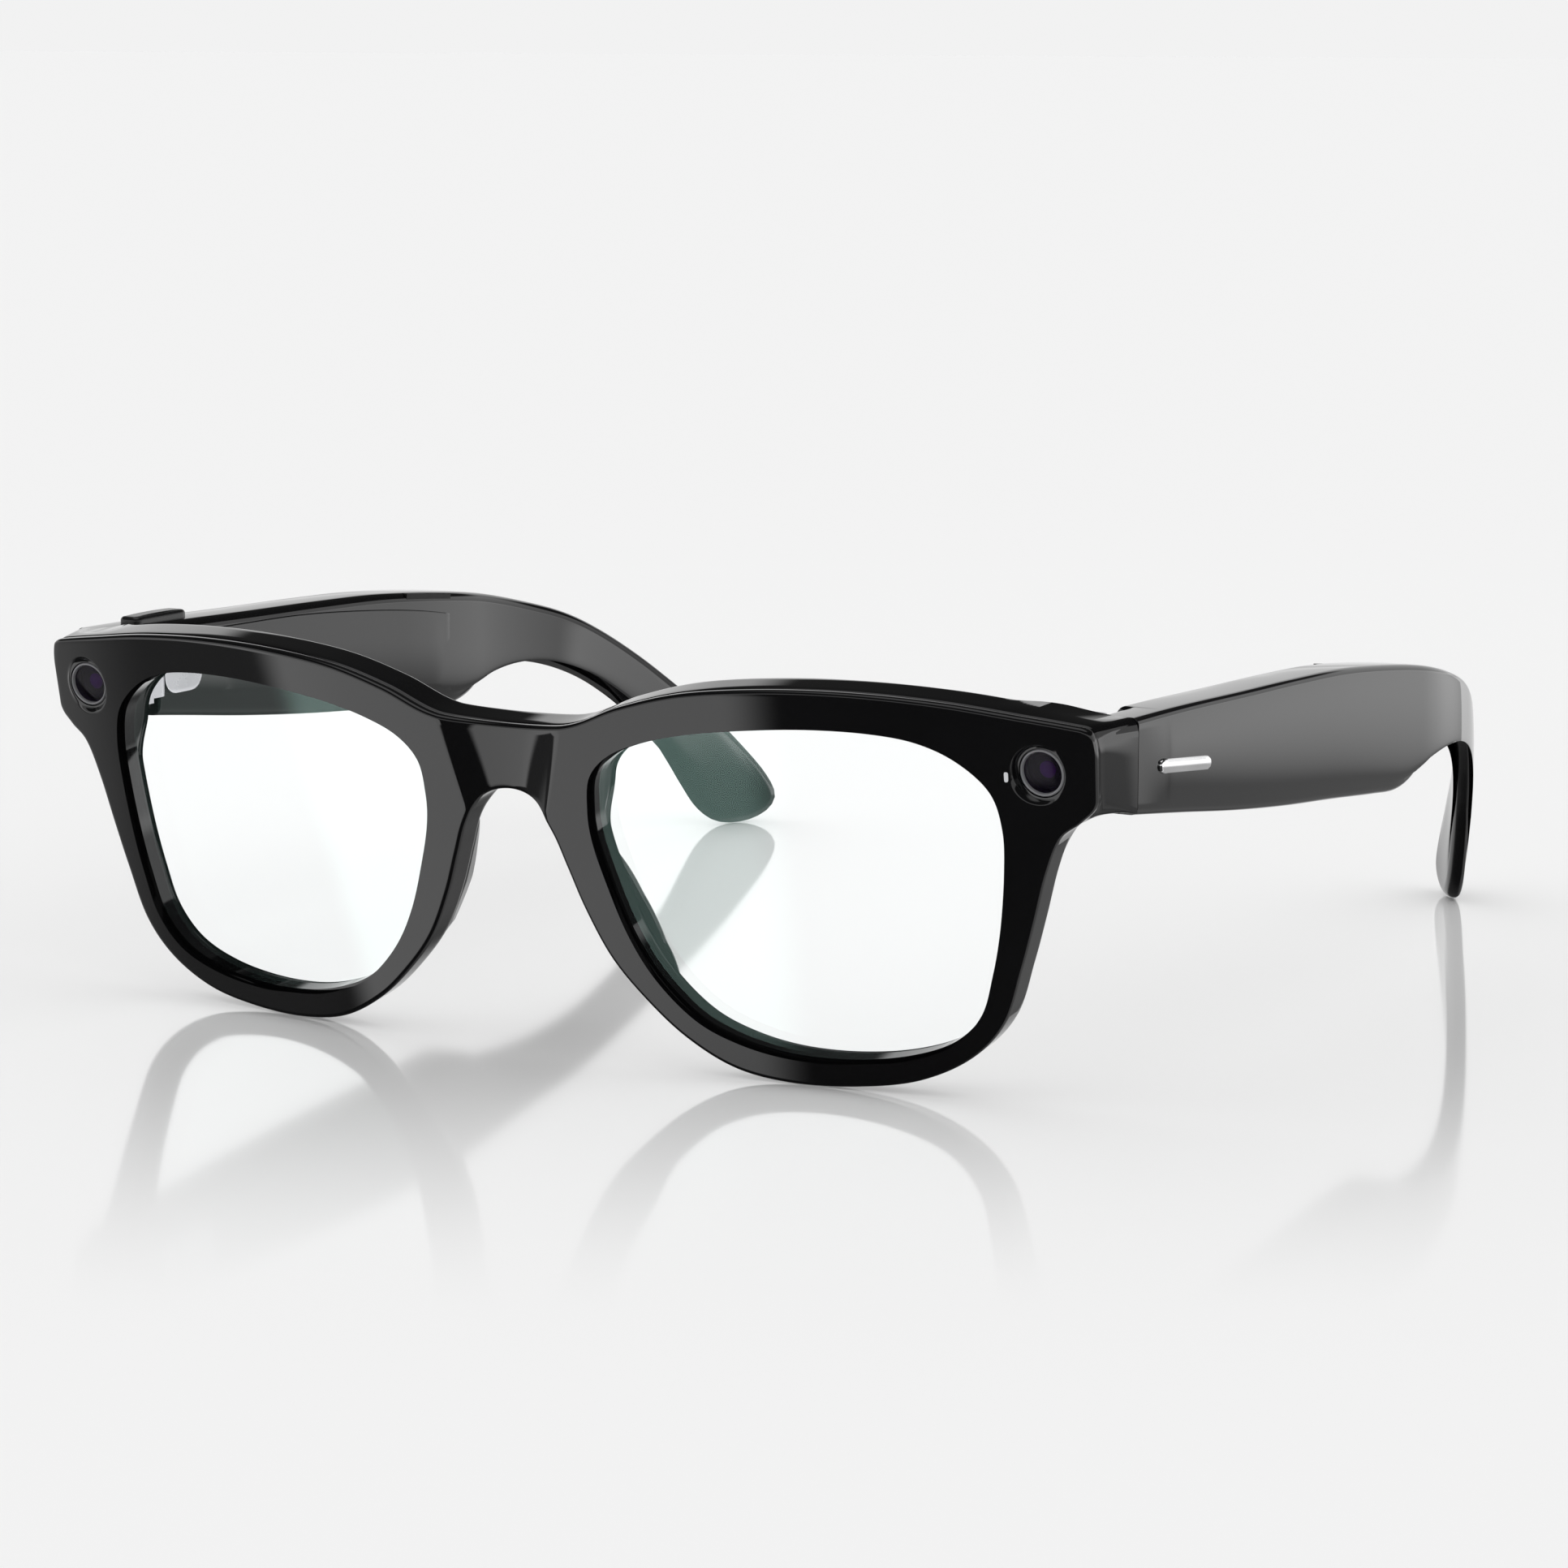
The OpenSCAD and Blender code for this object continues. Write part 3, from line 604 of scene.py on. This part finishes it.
def bridge_block(shape, loop, rows):
    """Carries the section at the crease across to the middle of the bridge."""
    columns = 12
    top = spaced(stretch(through(TOP), (0, 39.4), CREASE_TOP)[::-1], columns)
    low = spaced(stretch(through(SIDE), CREASE_LOW, (0, 31.7)), columns)
    top[-1, 0] = 0
    low[-1, 0] = 0
    n_top = -normals(top)
    n_low = -normals(low)
    n_top = np.where(n_top[:, 1:] < 0, -n_top, n_top)
    n_low = np.where(n_low[:, 1:] > 0, -n_low, n_low)
    n_top[-1], n_low[-1] = (0, 1), (0, -1)
    previous = loop
    for c in range(1, columns + 1):
        a = low[c] - n_low[c] * EDGE_R
        b = top[c] - n_top[c] * EDGE_R
        line = a + (b - a) * np.linspace(0, 1, rows + 1)[:, None]
        points = [leaning([(x, float(face_depth(x, z)), z)])[0] for x, z in line]
        over = wall_points(top[c], n_top[c])
        under = wall_points(low[c], n_low[c])
        rear_a, rear_b = low[c] - n_low[c] * BACK_R, top[c] - n_top[c] * BACK_R
        points += list(over) + [over[-1]]
        back = rear_b + (rear_a - rear_b) * np.linspace(0, 1, rows + 1)[1:-1, None]
        points += [leaning([(x, float(back_depth(x, z)), z)])[0] for x, z in back]
        points += [under[-1]] + list(under[::-1])
        current = shape.row(points)
        shape.band(previous, current, closed=True)
        previous = current


def mirrored(shape):
    """Adds the other half across the middle plane."""
    n = len(shape.points)
    shape.points += [(-x, y, z) for x, y, z in shape.points]
    shape.faces += [[i + n for i in reversed(face)] for face in shape.faces]


half, crease_line = front_half()
mirrored(half)
both = [placed(crease_line, side) for side in (1, -1)]
front = make("front_shell", half, "front", GLOSS, sharp=40, merge=2e-6, creases=both)
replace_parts(front, "front_frame")

# ---------------------------------------------------------------- plates, temples, lenses and pads
def slab(shape, sides, place, rim, bulge=(0, 0), flush=False):
    """A closed plate. Four sides make its outline; the rim steps from one face over the wall to the other.

    A step of the rim is (inset from the outline, face 0 or 1, drop below that face); place turns a point of
    the outline's plane, a face and a drop into space. A flush plate has its last side cut straight.
    """
    a, b, c, d = sides
    la, lb, lc = len(a) - 1, len(b) - 1, len(c) - 1
    loop = np.vstack([a[:-1], b[:-1], c[:-1], d[:-1]])
    twist = np.roll(loop, -1, 0)
    area = (loop[:, 0] * twist[:, 1] - loop[:, 1] * twist[:, 0]).sum()
    inward = normals(loop, closed=True) * (1 if area > 0 else -1)
    corner = la + lb + lc
    if flush:
        down = 1 if loop[0, 1] < loop[corner, 1] else -1
        inward[0], inward[corner] = (0, down), (0, -down)
    rows, rings = [], []
    for inset, face, drop in rim:
        ring = loop + inward * inset
        if flush:
            cut = ring[corner] + (ring[0] - ring[corner]) * np.linspace(0, 1, len(d))[:, None]
            ring[corner:] = cut[:-1]
        rings.append(ring)
        rows.append(shape.row([place(q, face, drop) for q in ring]))
    for low, high in zip(rows, rows[1:]):
        shape.band(low, high, closed=True)
    for k, face in ((0, 0), (-1, 1)):
        cap(shape, rows[k], rings[k], (la, lb, lc), place, face, rim[k][2], bulge[face])


def cap(shape, row, ring, counts, place, face, drop, bulge):
    """Fills a face of a plate with a smooth net between its four sides."""
    la, lb, lc = counts
    rest = len(ring) - la - lb - lc
    index = {}
    for i in range(la + 1):
        index[i, 0] = i
    for j in range(lb + 1):
        index[la, j] = la + j
    for i in range(lc + 1):
        index[lc - i, lb] = la + lb + i
    for j in range(rest):
        index[0, rest - j] = la + lb + lc + j
    net = [[None] * (lb + 1) for _ in range(la + 1)]
    for (i, j), k in index.items():
        net[i][j] = row[k]
    at = {key: ring[k] for key, k in index.items()}
    corners = at[0, 0], at[la, 0], at[0, lb], at[la, lb]
    for i in range(1, la):
        inner = []
        for j in range(1, lb):
            u, v = i / la, j / lb
            q = (1 - v) * at[i, 0] + v * at[i, lb] + (1 - u) * at[0, j] + u * at[la, j]
            q = q - (1 - u) * (1 - v) * corners[0] - u * (1 - v) * corners[1]
            q = q - (1 - u) * v * corners[2] - u * v * corners[3]
            fade = float(smooth(0, 0.08, 1 - u) * smooth(0, 0.08, u))
            inner.append(place(q, face, drop - bulge * 4 * v * (1 - v) * fade))
        net[i][1:lb] = shape.row(inner)
    for i in range(la):
        for j in range(lb):
            shape.faces.append([net[i][j], net[i + 1][j], net[i + 1][j + 1], net[i][j + 1]])


def rounding(front_r, back_r, count=6):
    """Rim steps of a plate with rounded edges."""
    front = [(i, 0, d) for i, d in arc(front_r, count)[::-1]]
    back = [(i, 1, d) for i, d in arc(back_r, count)]
    return front + back


def rounded(cy, cz, width, height, r, across=8, along=16):
    """The four sides of a rounded rectangle, split in the middle of its corners."""
    w, h = width / 2 - r, height / 2 - r

    def corner(x, z, start, ts):
        return [(cy + x + r * math.cos(start + t), cz + z + r * math.sin(start + t)) for t in ts]

    q = math.pi / 4
    up, right, down, left = (math.radians(k) for k in (90, 0, -90, 180))
    late, early = np.linspace(-q, 0, 5), np.linspace(0, q, 5)
    top = corner(-w, h, up, early[::-1]) + corner(w, h, up, late[::-1])
    end = corner(w, h, right, early[::-1]) + corner(w, -h, right, late[::-1])
    low = corner(w, -h, down, early[::-1]) + corner(-w, -h, down, late[::-1])
    start = corner(-w, -h, left, early[::-1]) + corner(-w, h, left, late[::-1])
    counts = (along, across, along, across)
    return [spaced(np.array(side), n) for side, n in zip((top, end, low, start), counts)]


HINGE_RELIEF = 1.4
LENS_SEAT = 0.5
PAD_FLARE = math.tan(math.radians(16))
PAD_T = 2.5
BADGE_TILT = math.radians(-6)


def outer_x(y):
    """The outer face of a temple, which curves inwards along the tip."""
    return TEMPLE_X - TIP_IN * (max(0.0, y - TIP_FROM) / TIP_RUN) ** 2


def thick(y):
    """Thickness of a temple, full at the hinge and thin along the tip."""
    share = min(1.0, max(0.0, (y - THIN_FROM) / THIN_RUN))
    return TIP_T + (TEMPLE_T - TIP_T) * (1 + math.cos(math.pi * share)) / 2


def temple_place(q, face, drop):
    """A point of a temple's side view on its outer face (0) or inner face (1), let in beside the hinge."""
    y, z = q
    if face == 0:
        return outer_x(y) - 0.1 - drop, y, z
    relief = HINGE_RELIEF * (1 - float(smooth(16.6, 17.3, y)))
    return outer_x(y) - thick(y) + 0.1 + relief + drop, y, z


def temple_sides():
    """The four sides of a temple's side view: top, end of the tip, bottom and the cut at the seam."""
    curve = through(TEMPLE, steps=40)
    turn = nearest(curve, (146.5, 3.9))
    upper, lower = curve[:turn], curve[turn:][::-1]
    ys = np.concatenate([np.arange(SEAM_Y + SEAM_GAP, 16.3, 0.9), [16.6, 16.8, 17, 17.2, 17.4],
                         np.arange(18.2, 60, 1.1)])
    top = [np.stack([ys, np.interp(ys, upper[:, 0], upper[:, 1])], 1)]
    front_low = lower[lower[:, 0] < 70]
    low = [np.stack([ys, np.interp(ys, front_low[:, 0], front_low[:, 1])], 1)]
    marks = [(top[0][-1], low[0][-1]), ((80, 40.6), (77, 25.2)), ((93, 38.8), (87, 25.5)),
             ((102, 36.9), (95, 28.5)), ((111, 34.5), (104, 29.3)), ((120.5, 30.2), (113.6, 27.3)),
             ((130, 23.4), (122.4, 21.3)), ((138, 16.1), (129.2, 13.4)), ((144.6, 8.1), (133.1, 6.9))]
    for (a, i), (b, j) in zip(marks, marks[1:]):
        piece, mate = stretch(curve, a, b), stretch(curve, j, i)[::-1]
        count = round(length(piece) / 0.9)
        top.append(spaced(piece, count)[1:])
        low.append(spaced(mate, count)[1:])
    top, low = np.vstack(top), np.vstack(low)
    end = spaced(stretch(curve, marks[-1][0], marks[-1][1]), 18)
    start = low[0] + (top[0] - low[0]) * np.linspace(0, 1, 19)[:, None]
    return top, end, low[::-1], start


def temple(side, name):
    """The shell and the inner cover of one temple, on the body of the same name."""
    shape = Shape()
    slab(shape, temple_sides(), temple_place, rounding(0.9, 1.4, 7), bulge=(0.2, 0.2), flush=True)
    piece = make(name + "_shell", shape, name, GLOSS, side=side, sharp=50)
    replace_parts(piece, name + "_shell")

    top = through(COVER_TOP)
    low = through(COVER_LOW)
    count = 50
    sides = [spaced(top, count), spaced(np.array([top[-1], low[-1]]), 10),
             spaced(low[::-1], count), spaced(np.array([low[0], top[0]]), 10)]
    shape = Shape()

    def cover_place(q, face, drop):
        x = outer_x(q[0]) - thick(q[0]) - 0.05
        return (x + drop if face == 0 else x + 0.9 - drop), q[0], q[1]

    slab(shape, sides, cover_place, rounding(0.22, 0.05, 4), bulge=(0.12, 0))
    piece = make(name + "_cover", shape, name, SHELL, side=side, sharp=50)
    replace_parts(piece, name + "_cover")


def lens(side, name):
    """One curved lens, with its edge in the groove of the rim."""
    shape = Shape()
    curve = through(OPENING, closed=True)
    inward = normals(curve[:-1], closed=True)[np.r_[0:len(curve) - 1, 0]] * lens_sense(curve)
    curve = curve - inward * LENS_SEAT
    marks = [(14.2, 37.5), (59.5, 35.3), (53.2, 5.2), (17.6, 10.6)]
    counts = (48, 34, 48, 34)
    sides = [spaced(stretch(curve, a, b), n) for a, b, n in zip(marks, marks[1:] + marks[:1], counts)]

    def lens_place(q, face, drop):
        x, z = q
        depth = float(wrap(x)) + (LENS_FRONT + drop if face == 0 else LENS_FRONT + LENS_T - drop)
        return tuple(leaning([(x, depth, z)])[0])

    slab(shape, sides, lens_place, [(0.2, 0, 0), (0.05, 0, 0.12), (0, 0, 0.3), (0, 1, 0.3), (0.05, 1, 0.12),
                                    (0.2, 1, 0)])
    piece = make(name + "_clear", shape, "front", LENS, side=side, sharp=40)
    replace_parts(piece, name)


def lens_sense(curve):
    """+1 when the left of the curve's direction is inside."""
    p = curve[:-1]
    q = np.roll(p, -1, 0)
    return 1 if (p[:, 0] * q[:, 1] - p[:, 1] * q[:, 0]).sum() > 0 else -1


def nose_pad(side, name):
    """One pad, standing on the nose side of a rim and flaring towards the back."""
    shape = Shape()
    curve = through(PAD_SIDE)
    nose = np.array([p for p in SIDE[9:] if p[0] >= 3.6])[::-1]
    i, j = nearest(curve, (6.5, 23.6)), nearest(curve, (7, 12.8))
    top, end, low = curve[:i + 1], curve[i:j + 1], curve[j:]
    count, across = 26, 22
    start = np.array([low[-1], top[0]])
    sides = [spaced(top, count), spaced(end, across), spaced(low, count), spaced(start, across)]
    order = np.argsort(nose[:, 1])

    def pad_place(q, face, drop):
        t, z = q
        x = float(np.interp(z, nose[order, 1], nose[order, 0])) + 0.3 + max(0.0, t - RIM_T) * PAD_FLARE
        x = x + drop if face == 0 else x + PAD_T - drop
        return tuple(leaning([(x, float(wrap(x)) + t, z)])[0])

    slab(shape, sides, pad_place, rounding(0.9, 0.9), bulge=(0.2, 0.1), flush=True)
    piece = make(name + "_soft", shape, "front", PAD, side=side, sharp=50)
    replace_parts(piece, name)


def rear_cover():
    """The thin strip closing the back of the brow, from end to end."""
    top = through(TOP)
    top = top[(top[:, 0] >= 0) & (top[:, 0] <= 56.6)]
    top = np.vstack([top[::-1] * (-1, 1), top[1:]])
    n = normals(top)
    upper, lower = spaced(top - n * 0.75, 120), spaced(top - n * 2.5, 120)
    sides = [upper, spaced(np.array([upper[-1], lower[-1]]), 6), lower[::-1],
             spaced(np.array([lower[0], upper[0]]), 6)]

    def strip_place(q, face, drop):
        x, z = q
        depth = float(wrap(x, BROW_T)) + (0.05 - drop if face == 0 else -0.6 + drop)
        return tuple(leaning([(x, depth, z)])[0])

    shape = Shape()
    slab(shape, sides, strip_place, rounding(0.12, 0.02, 3))
    piece = make("rear_strip", shape, "front", SATIN, sharp=50)
    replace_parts(piece, "front_rear_cover")


def turned(profile, count=96):
    """A part turned about a camera's axis: radius and depth behind the seat."""
    shape = Shape()

    def spin(r, t, d):
        return tuple(leaning([(CAMERA_X + r * math.cos(t), CAMERA_Y + d, CAMERA_Z + r * math.sin(t))])[0])

    shape.lathe(profile, count, spin)
    return shape


def dome(r, front, back, rise, steps=8):
    """Profile of a disc with a domed front."""
    top = [(r * k / steps, front - rise * (1 - (k / steps) ** 2)) for k in range(steps + 1)]
    return top + [(r, back), (0, back)]


def cameras(side, name):
    """The ring, the domed glass, the barrel and its eye in one end piece; the eye is coloured purple as a painted
    glint.
    """
    ring = [(2.3, 1.25), (2.3, 0.42), (2.34, 0.16), (2.4, 0.04), (2.48, 0.0), (2.56, 0.02), (2.64, 0.1),
            (2.69, 0.24), (2.71, 0.42), (2.71, 1.25), (2.3, 1.25)]
    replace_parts(make(name + "_camera_ring", turned(ring), "front", RING, side=side, sharp=30),
                name + "_camera_bezel")
    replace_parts(make(name + "_camera_glass", turned(dome(2.29, 0.36, 0.95, 0.16)), "front",
                     GLASS, side=side), name + "_camera_window")
    barrel = [(0, 2.9), (0.78, 2.9), (0.78, 1.7), (0.95, 1.5), (1.2, 1.3), (1.25, 1.22), (1.5, 1.22),
              (1.55, 1.4), (1.62, 1.62), (1.9, 1.62), (1.95, 1.5), (2.08, 1.5), (2.1, 1.7), (2.1, 2.95), (0, 2.95)]
    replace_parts(make(name + "_camera_tube", turned(barrel), "front", MODULE, side=side,
                     sharp=30), name + "_camera_barrel")
    # The eye's purple colour is a painted glint, not a coating.
    make(name + "_camera_eye", turned(dome(0.98, 1.5, 2.0, 0.3)), "front", EYE_GLINT_PAINT, side=side)


def level_place(base, top):
    """Placing for a plate lying flat: its outline is in x and y."""
    def place(q, face, drop):
        return q[0], q[1], (top - drop if face == 0 else base + drop)
    return place


def upright_place(inner, outer):
    """Placing for a plate standing beside a temple: its outline is in y and height."""
    def place(q, face, drop):
        return (outer - drop if face == 0 else inner + drop), q[0], q[1]
    return place


def badge_place(q, face, drop):
    """Placing for the bar on a temple, which slopes down towards the back."""
    y, z = q
    x = TEMPLE_X + 0.36 - drop if face == 0 else TEMPLE_X - 0.3 + drop
    return x, 14.6 + y * math.cos(BADGE_TILT), 37.6 + z + y * math.sin(BADGE_TILT)


def trim():
    """The capture button, the power slider and the bars on the temples."""
    shape = Shape()
    slab(shape, rounded(TEMPLE_X - TEMPLE_T / 2, 20.4, 3.1, 10.2, 0.9, 24, 8), level_place(42.52, 44.38),
         rounding(0.5, 0.1), bulge=(0.12, 0))
    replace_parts(make("capture_key", shape, "button", BUTTON, side=-1, sharp=60),
                "capture_button")
    shape = Shape()
    inner_x = TEMPLE_X - TEMPLE_T
    slab(shape, rounded(34.4, 37.8, 3.9, 2.3, 0.5), upright_place(inner_x + 1, inner_x - 0.4),
         rounding(0.22, 0.05, 5))
    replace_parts(make("power_slider", shape, "slider", BUTTON, sharp=60), "power_switch")
    for side, name in ((1, "left"), (-1, "right")):
        shape = Shape()
        slab(shape, rounded(6.4, 0, 13, 1.7, 0.84), badge_place, rounding(0.3, 0.05), bulge=(0.08, 0))
        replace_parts(make(name + "_badge", shape, name + "_temple", POLISHED, side=side,
                         sharp=60), name + "_emblem")


def hinge_leaf(side, name):
    """The metal leaf on a temple's inner face, with its knuckle and two screws."""
    shape = Shape()
    turns = [2 * math.pi * k / 48 for k in range(48)]
    rows = []
    for r, z in ((0.86, 37.52), (1.7, 37.52), (1.8, 37.62), (1.8, 39.78), (1.7, 39.88), (0.86, 39.88)):
        rows.append(shape.row([(AXIS_X + r * math.cos(t), AXIS_Y + r * math.sin(t), z) for t in turns]))
    for a, b in zip(rows, rows[1:] + rows[:1]):
        shape.band(a, b, closed=True)
    leaf = upright_place(AXIS_X + 1.55, AXIS_X)

    def flat(q, face, drop):
        return leaf(q, 1 - face, drop)

    slab(shape, rounded(16.4, 38.7, 2.8, 2.3, 0.2), flat, rounding(0.15, 0.05, 3))
    slab(shape, rounded(20.8, HINGE_Z, 7.6, 6.7, 2.3, 12, 12), flat, rounding(0.2, 0.05, 4))
    screw = ((0, 0.3), (0.75, 0.3), (0.75, -0.04), (0.68, -0.12), (0.3, -0.16), (0.28, -0.02), (0, -0.02))
    for y in (19.3, 22.4):
        def spin(r, t, d, y=y):
            return AXIS_X + d, y + r * math.cos(t), HINGE_Z + r * math.sin(t)

        shape.lathe(screw, 32, spin)
    piece = make(name + "_leaf", shape, name + "_temple", STEEL, side=side, sharp=35)
    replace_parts(piece, name + "_temple_hinge")


def status_light():
    """The light pipe beside the wearer's left camera."""
    def place(q, face, drop):
        x, z = q
        depth = float(wrap(x)) - 0.06 + drop if face == 0 else float(wrap(x)) + 2 - drop
        return tuple(leaning([(x, depth, z)])[0])

    shape = Shape()
    slab(shape, rounded(CAMERA_X - 3.7, CAMERA_Z - 0.4, 0.44, 1.15, 0.18, 8, 6), place,
         rounding(0.08, 0.02, 3))
    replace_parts(make("status_light", shape, "front", LIGHT, sharp=60), "status_led")


temple(1, "left_temple")
temple(-1, "right_temple")
for side, word in ((1, "left"), (-1, "right")):
    lens(side, word + "_lens")
    nose_pad(side, word + "_nose_pad")
    cameras(side, word)
    hinge_leaf(side, word)
rear_cover()
trim()
status_light()

# Edges of the metal parts that stay as drawn in the CAD are broken a little.
for name in ("left_front_hinge", "right_front_hinge", "left_hinge_pin", "right_hinge_pin",
             "left_speaker_grille", "right_speaker_grille", "bridge_contacts"):
    soften = frame["nodes"][name].modifiers.new("edges", "BEVEL")
    soften.width = 0.00012
    soften.segments = 3
    soften.limit_method = "ANGLE"


# ---------------------------------------------------------------- world, floor and camera
BACKDROP = 0.887
CARD_BASE = 0.05
FLOOR_SIZE = 12.0
FLOOR_TONE = 0.91
MIRROR_NEAR = -0.17
MIRROR_FULL = -0.05
MIRROR_SHARE = 0.4
MIRROR_ROUGH = 0.07
MIRROR_FROM = 0.3
MIRROR_TO = 0.6
AZIMUTH = math.radians(30.2)
ELEVATION = math.radians(9.7)
DISTANCE = 0.4947
FOCAL = 103.0
SENSOR = 36.0
TARGET = placed([(33.98, 0, 34.5)])[0]


def studio():
    """An even white room for the camera and the floor, and a black-card studio in the reflections."""
    world = bpy.data.worlds.new("studio")
    scene.world = world
    world.use_nodes = True
    nodes, links = world.node_tree.nodes, world.node_tree.links
    nodes.clear()

    def node(kind, **values):
        n = nodes.new(kind)
        for key, value in values.items():
            setattr(n, key, value)
        return n

    def wire(value, socket):
        if isinstance(value, (int, float)):
            socket.default_value = value
        else:
            links.new(value, socket)

    def math_(kind, a, b=0.0, c=0.0):
        n = node("ShaderNodeMath", operation=kind)
        for value, socket in zip((a, b, c), n.inputs):
            wire(value, socket)
        return n.outputs[0]

    def ramp(value, low, high, start=0.0, end=1.0):
        n = node("ShaderNodeMapRange", interpolation_type="SMOOTHSTEP")
        for v, socket in zip((value, low, high, start, end), n.inputs):
            wire(v, socket)
        return n.outputs[0]

    def times(*values):
        total = values[0]
        for v in values[1:]:
            total = math_("MULTIPLY", total, v)
        return total

    way = node("ShaderNodeTexCoord").outputs["Generated"]
    parts = node("ShaderNodeSeparateXYZ")
    links.new(way, parts.inputs[0])
    x, y, z = parts.outputs
    rise = math_("MULTIPLY", math_("ARCSINE", z), 180 / math.pi)
    turn = math_("MULTIPLY", math_("ARCTAN2", x, math_("MULTIPLY", y, -1.0)), 180 / math.pi)
    behind = ramp(y, -0.1, 0.25)
    # A low bright strip all round, the floor's glow behind, a dim card to one side, a soft box in front
    # and a light above. Rise is the height of a direction in degrees, turn its angle from straight ahead.
    strip = times(ramp(rise, 0, 3), ramp(rise, 18.5, 22, 1, 0))
    near = math_("ADD", 1.0, times(ramp(turn, 92, 102), ramp(turn, 126, 134, 1, 0), 0.8))
    floor_glow = times(behind, near, ramp(x, -0.2, 0.25, 0.15, 1.0), ramp(rise, -12, -6.8, 0.4, 1.45),
                       ramp(rise, 1, 4, 1, 0))
    side = times(ramp(turn, -72, -62, 4.4, 1), ramp(turn, -52, -46, 1, 0), ramp(rise, -32, -23),
                 ramp(rise, -2, 4, 1, 0))
    slant = math_("ADD", turn, times(math_("ADD", rise, 26.0), 0.8))
    box = times(ramp(slant, -49.4, -47.2), ramp(turn, -22, -18, 1, 0), ramp(rise, -36, -26),
                ramp(rise, -5, 3, 1, 0))
    above = ramp(rise, 55, 70)
    total = times(strip, 0.88)
    for light, level in ((floor_glow, 0.95), (box, 1.7), (above, 0.9), (side, 0.15)):
        total = math_("ADD", total, times(light, level))
    seen, soft, card = (node("ShaderNodeBackground") for _ in range(3))
    for light, level in ((seen, BACKDROP), (soft, 1), (card, 1)):
        light.inputs["Color"].default_value = (level, level, level, 1)
    links.new(math_("ADD", total, CARD_BASE), card.inputs["Strength"])
    path = node("ShaderNodeLightPath")
    result = card.outputs[0]
    for ray, light in (("Is Diffuse Ray", soft), ("Is Camera Ray", seen)):
        mix = node("ShaderNodeMixShader")
        links.new(path.outputs[ray], mix.inputs["Fac"])
        links.new(result, mix.inputs[1])
        links.new(light.outputs[0], mix.inputs[2])
        result = mix.outputs[0]
    links.new(result, node("ShaderNodeOutputWorld").inputs["Surface"])


def floor():
    """A pale floor with a soft mirror image of the glasses that fades out in front of them."""
    mesh = bpy.data.meshes.new("floor")
    s = FLOOR_SIZE
    mesh.from_pydata([(-s, -s, 0), (s, -s, 0), (s, s, 0), (-s, s, 0)], [], [(0, 1, 2, 3)])
    plane = bpy.data.objects.new("floor", mesh)
    scene.collection.objects.link(plane)
    plane.visible_glossy = False
    m = bpy.data.materials.new("floor")
    m.use_nodes = True
    nodes, links = m.node_tree.nodes, m.node_tree.links
    nodes.clear()
    place = nodes.new("ShaderNodeNewGeometry")
    along = nodes.new("ShaderNodeVectorMath")
    along.operation = "DOT_PRODUCT"
    along.inputs[1].default_value = (-math.sin(AZIMUTH), math.cos(AZIMUTH), 0)
    links.new(place.outputs["Position"], along.inputs[0])
    far = nodes.new("ShaderNodeVectorMath")
    far.operation = "LENGTH"
    links.new(place.outputs["Position"], far.inputs[0])
    share = nodes.new("ShaderNodeMath")
    share.operation = "MULTIPLY"
    limits = (MIRROR_NEAR, MIRROR_FULL, 0.0, MIRROR_SHARE), (MIRROR_FROM, MIRROR_TO, 1.0, 0.0)
    for measure, values, factor in zip((along, far), limits, share.inputs):
        fade = nodes.new("ShaderNodeMapRange")
        fade.interpolation_type = "SMOOTHSTEP"
        for value, socket in zip(values, list(fade.inputs)[1:5]):
            socket.default_value = value
        links.new(measure.outputs["Value"], fade.inputs[0])
        links.new(fade.outputs[0], factor)
    matt = nodes.new("ShaderNodeBsdfDiffuse")
    matt.inputs["Color"].default_value = (FLOOR_TONE, FLOOR_TONE, FLOOR_TONE, 1)
    gloss = nodes.new("ShaderNodeBsdfAnisotropic")
    gloss.inputs["Color"].default_value = (1, 1, 1, 1)
    gloss.inputs["Roughness"].default_value = MIRROR_ROUGH
    mix = nodes.new("ShaderNodeMixShader")
    links.new(share.outputs[0], mix.inputs["Fac"])
    links.new(matt.outputs[0], mix.inputs[1])
    links.new(gloss.outputs[0], mix.inputs[2])
    out = nodes.new("ShaderNodeOutputMaterial")
    links.new(mix.outputs[0], out.inputs["Surface"])
    mesh.materials.append(m)


def camera():
    """The view the glasses are shown from."""
    data = bpy.data.cameras.new("camera")
    data.lens = FOCAL
    data.sensor_width = SENSOR
    data.clip_start = 0.01
    view = bpy.data.objects.new("camera", data)
    scene.collection.objects.link(view)
    level = math.cos(ELEVATION)
    back = Vector((math.sin(AZIMUTH) * level, -math.cos(AZIMUTH) * level, math.sin(ELEVATION)))
    view.location = Vector(TARGET) + back * DISTANCE
    view.rotation_euler = back.to_track_quat("Z", "Y").to_euler()
    scene.camera = view


studio()
floor()
camera()
scene.view_settings.view_transform = "Standard"
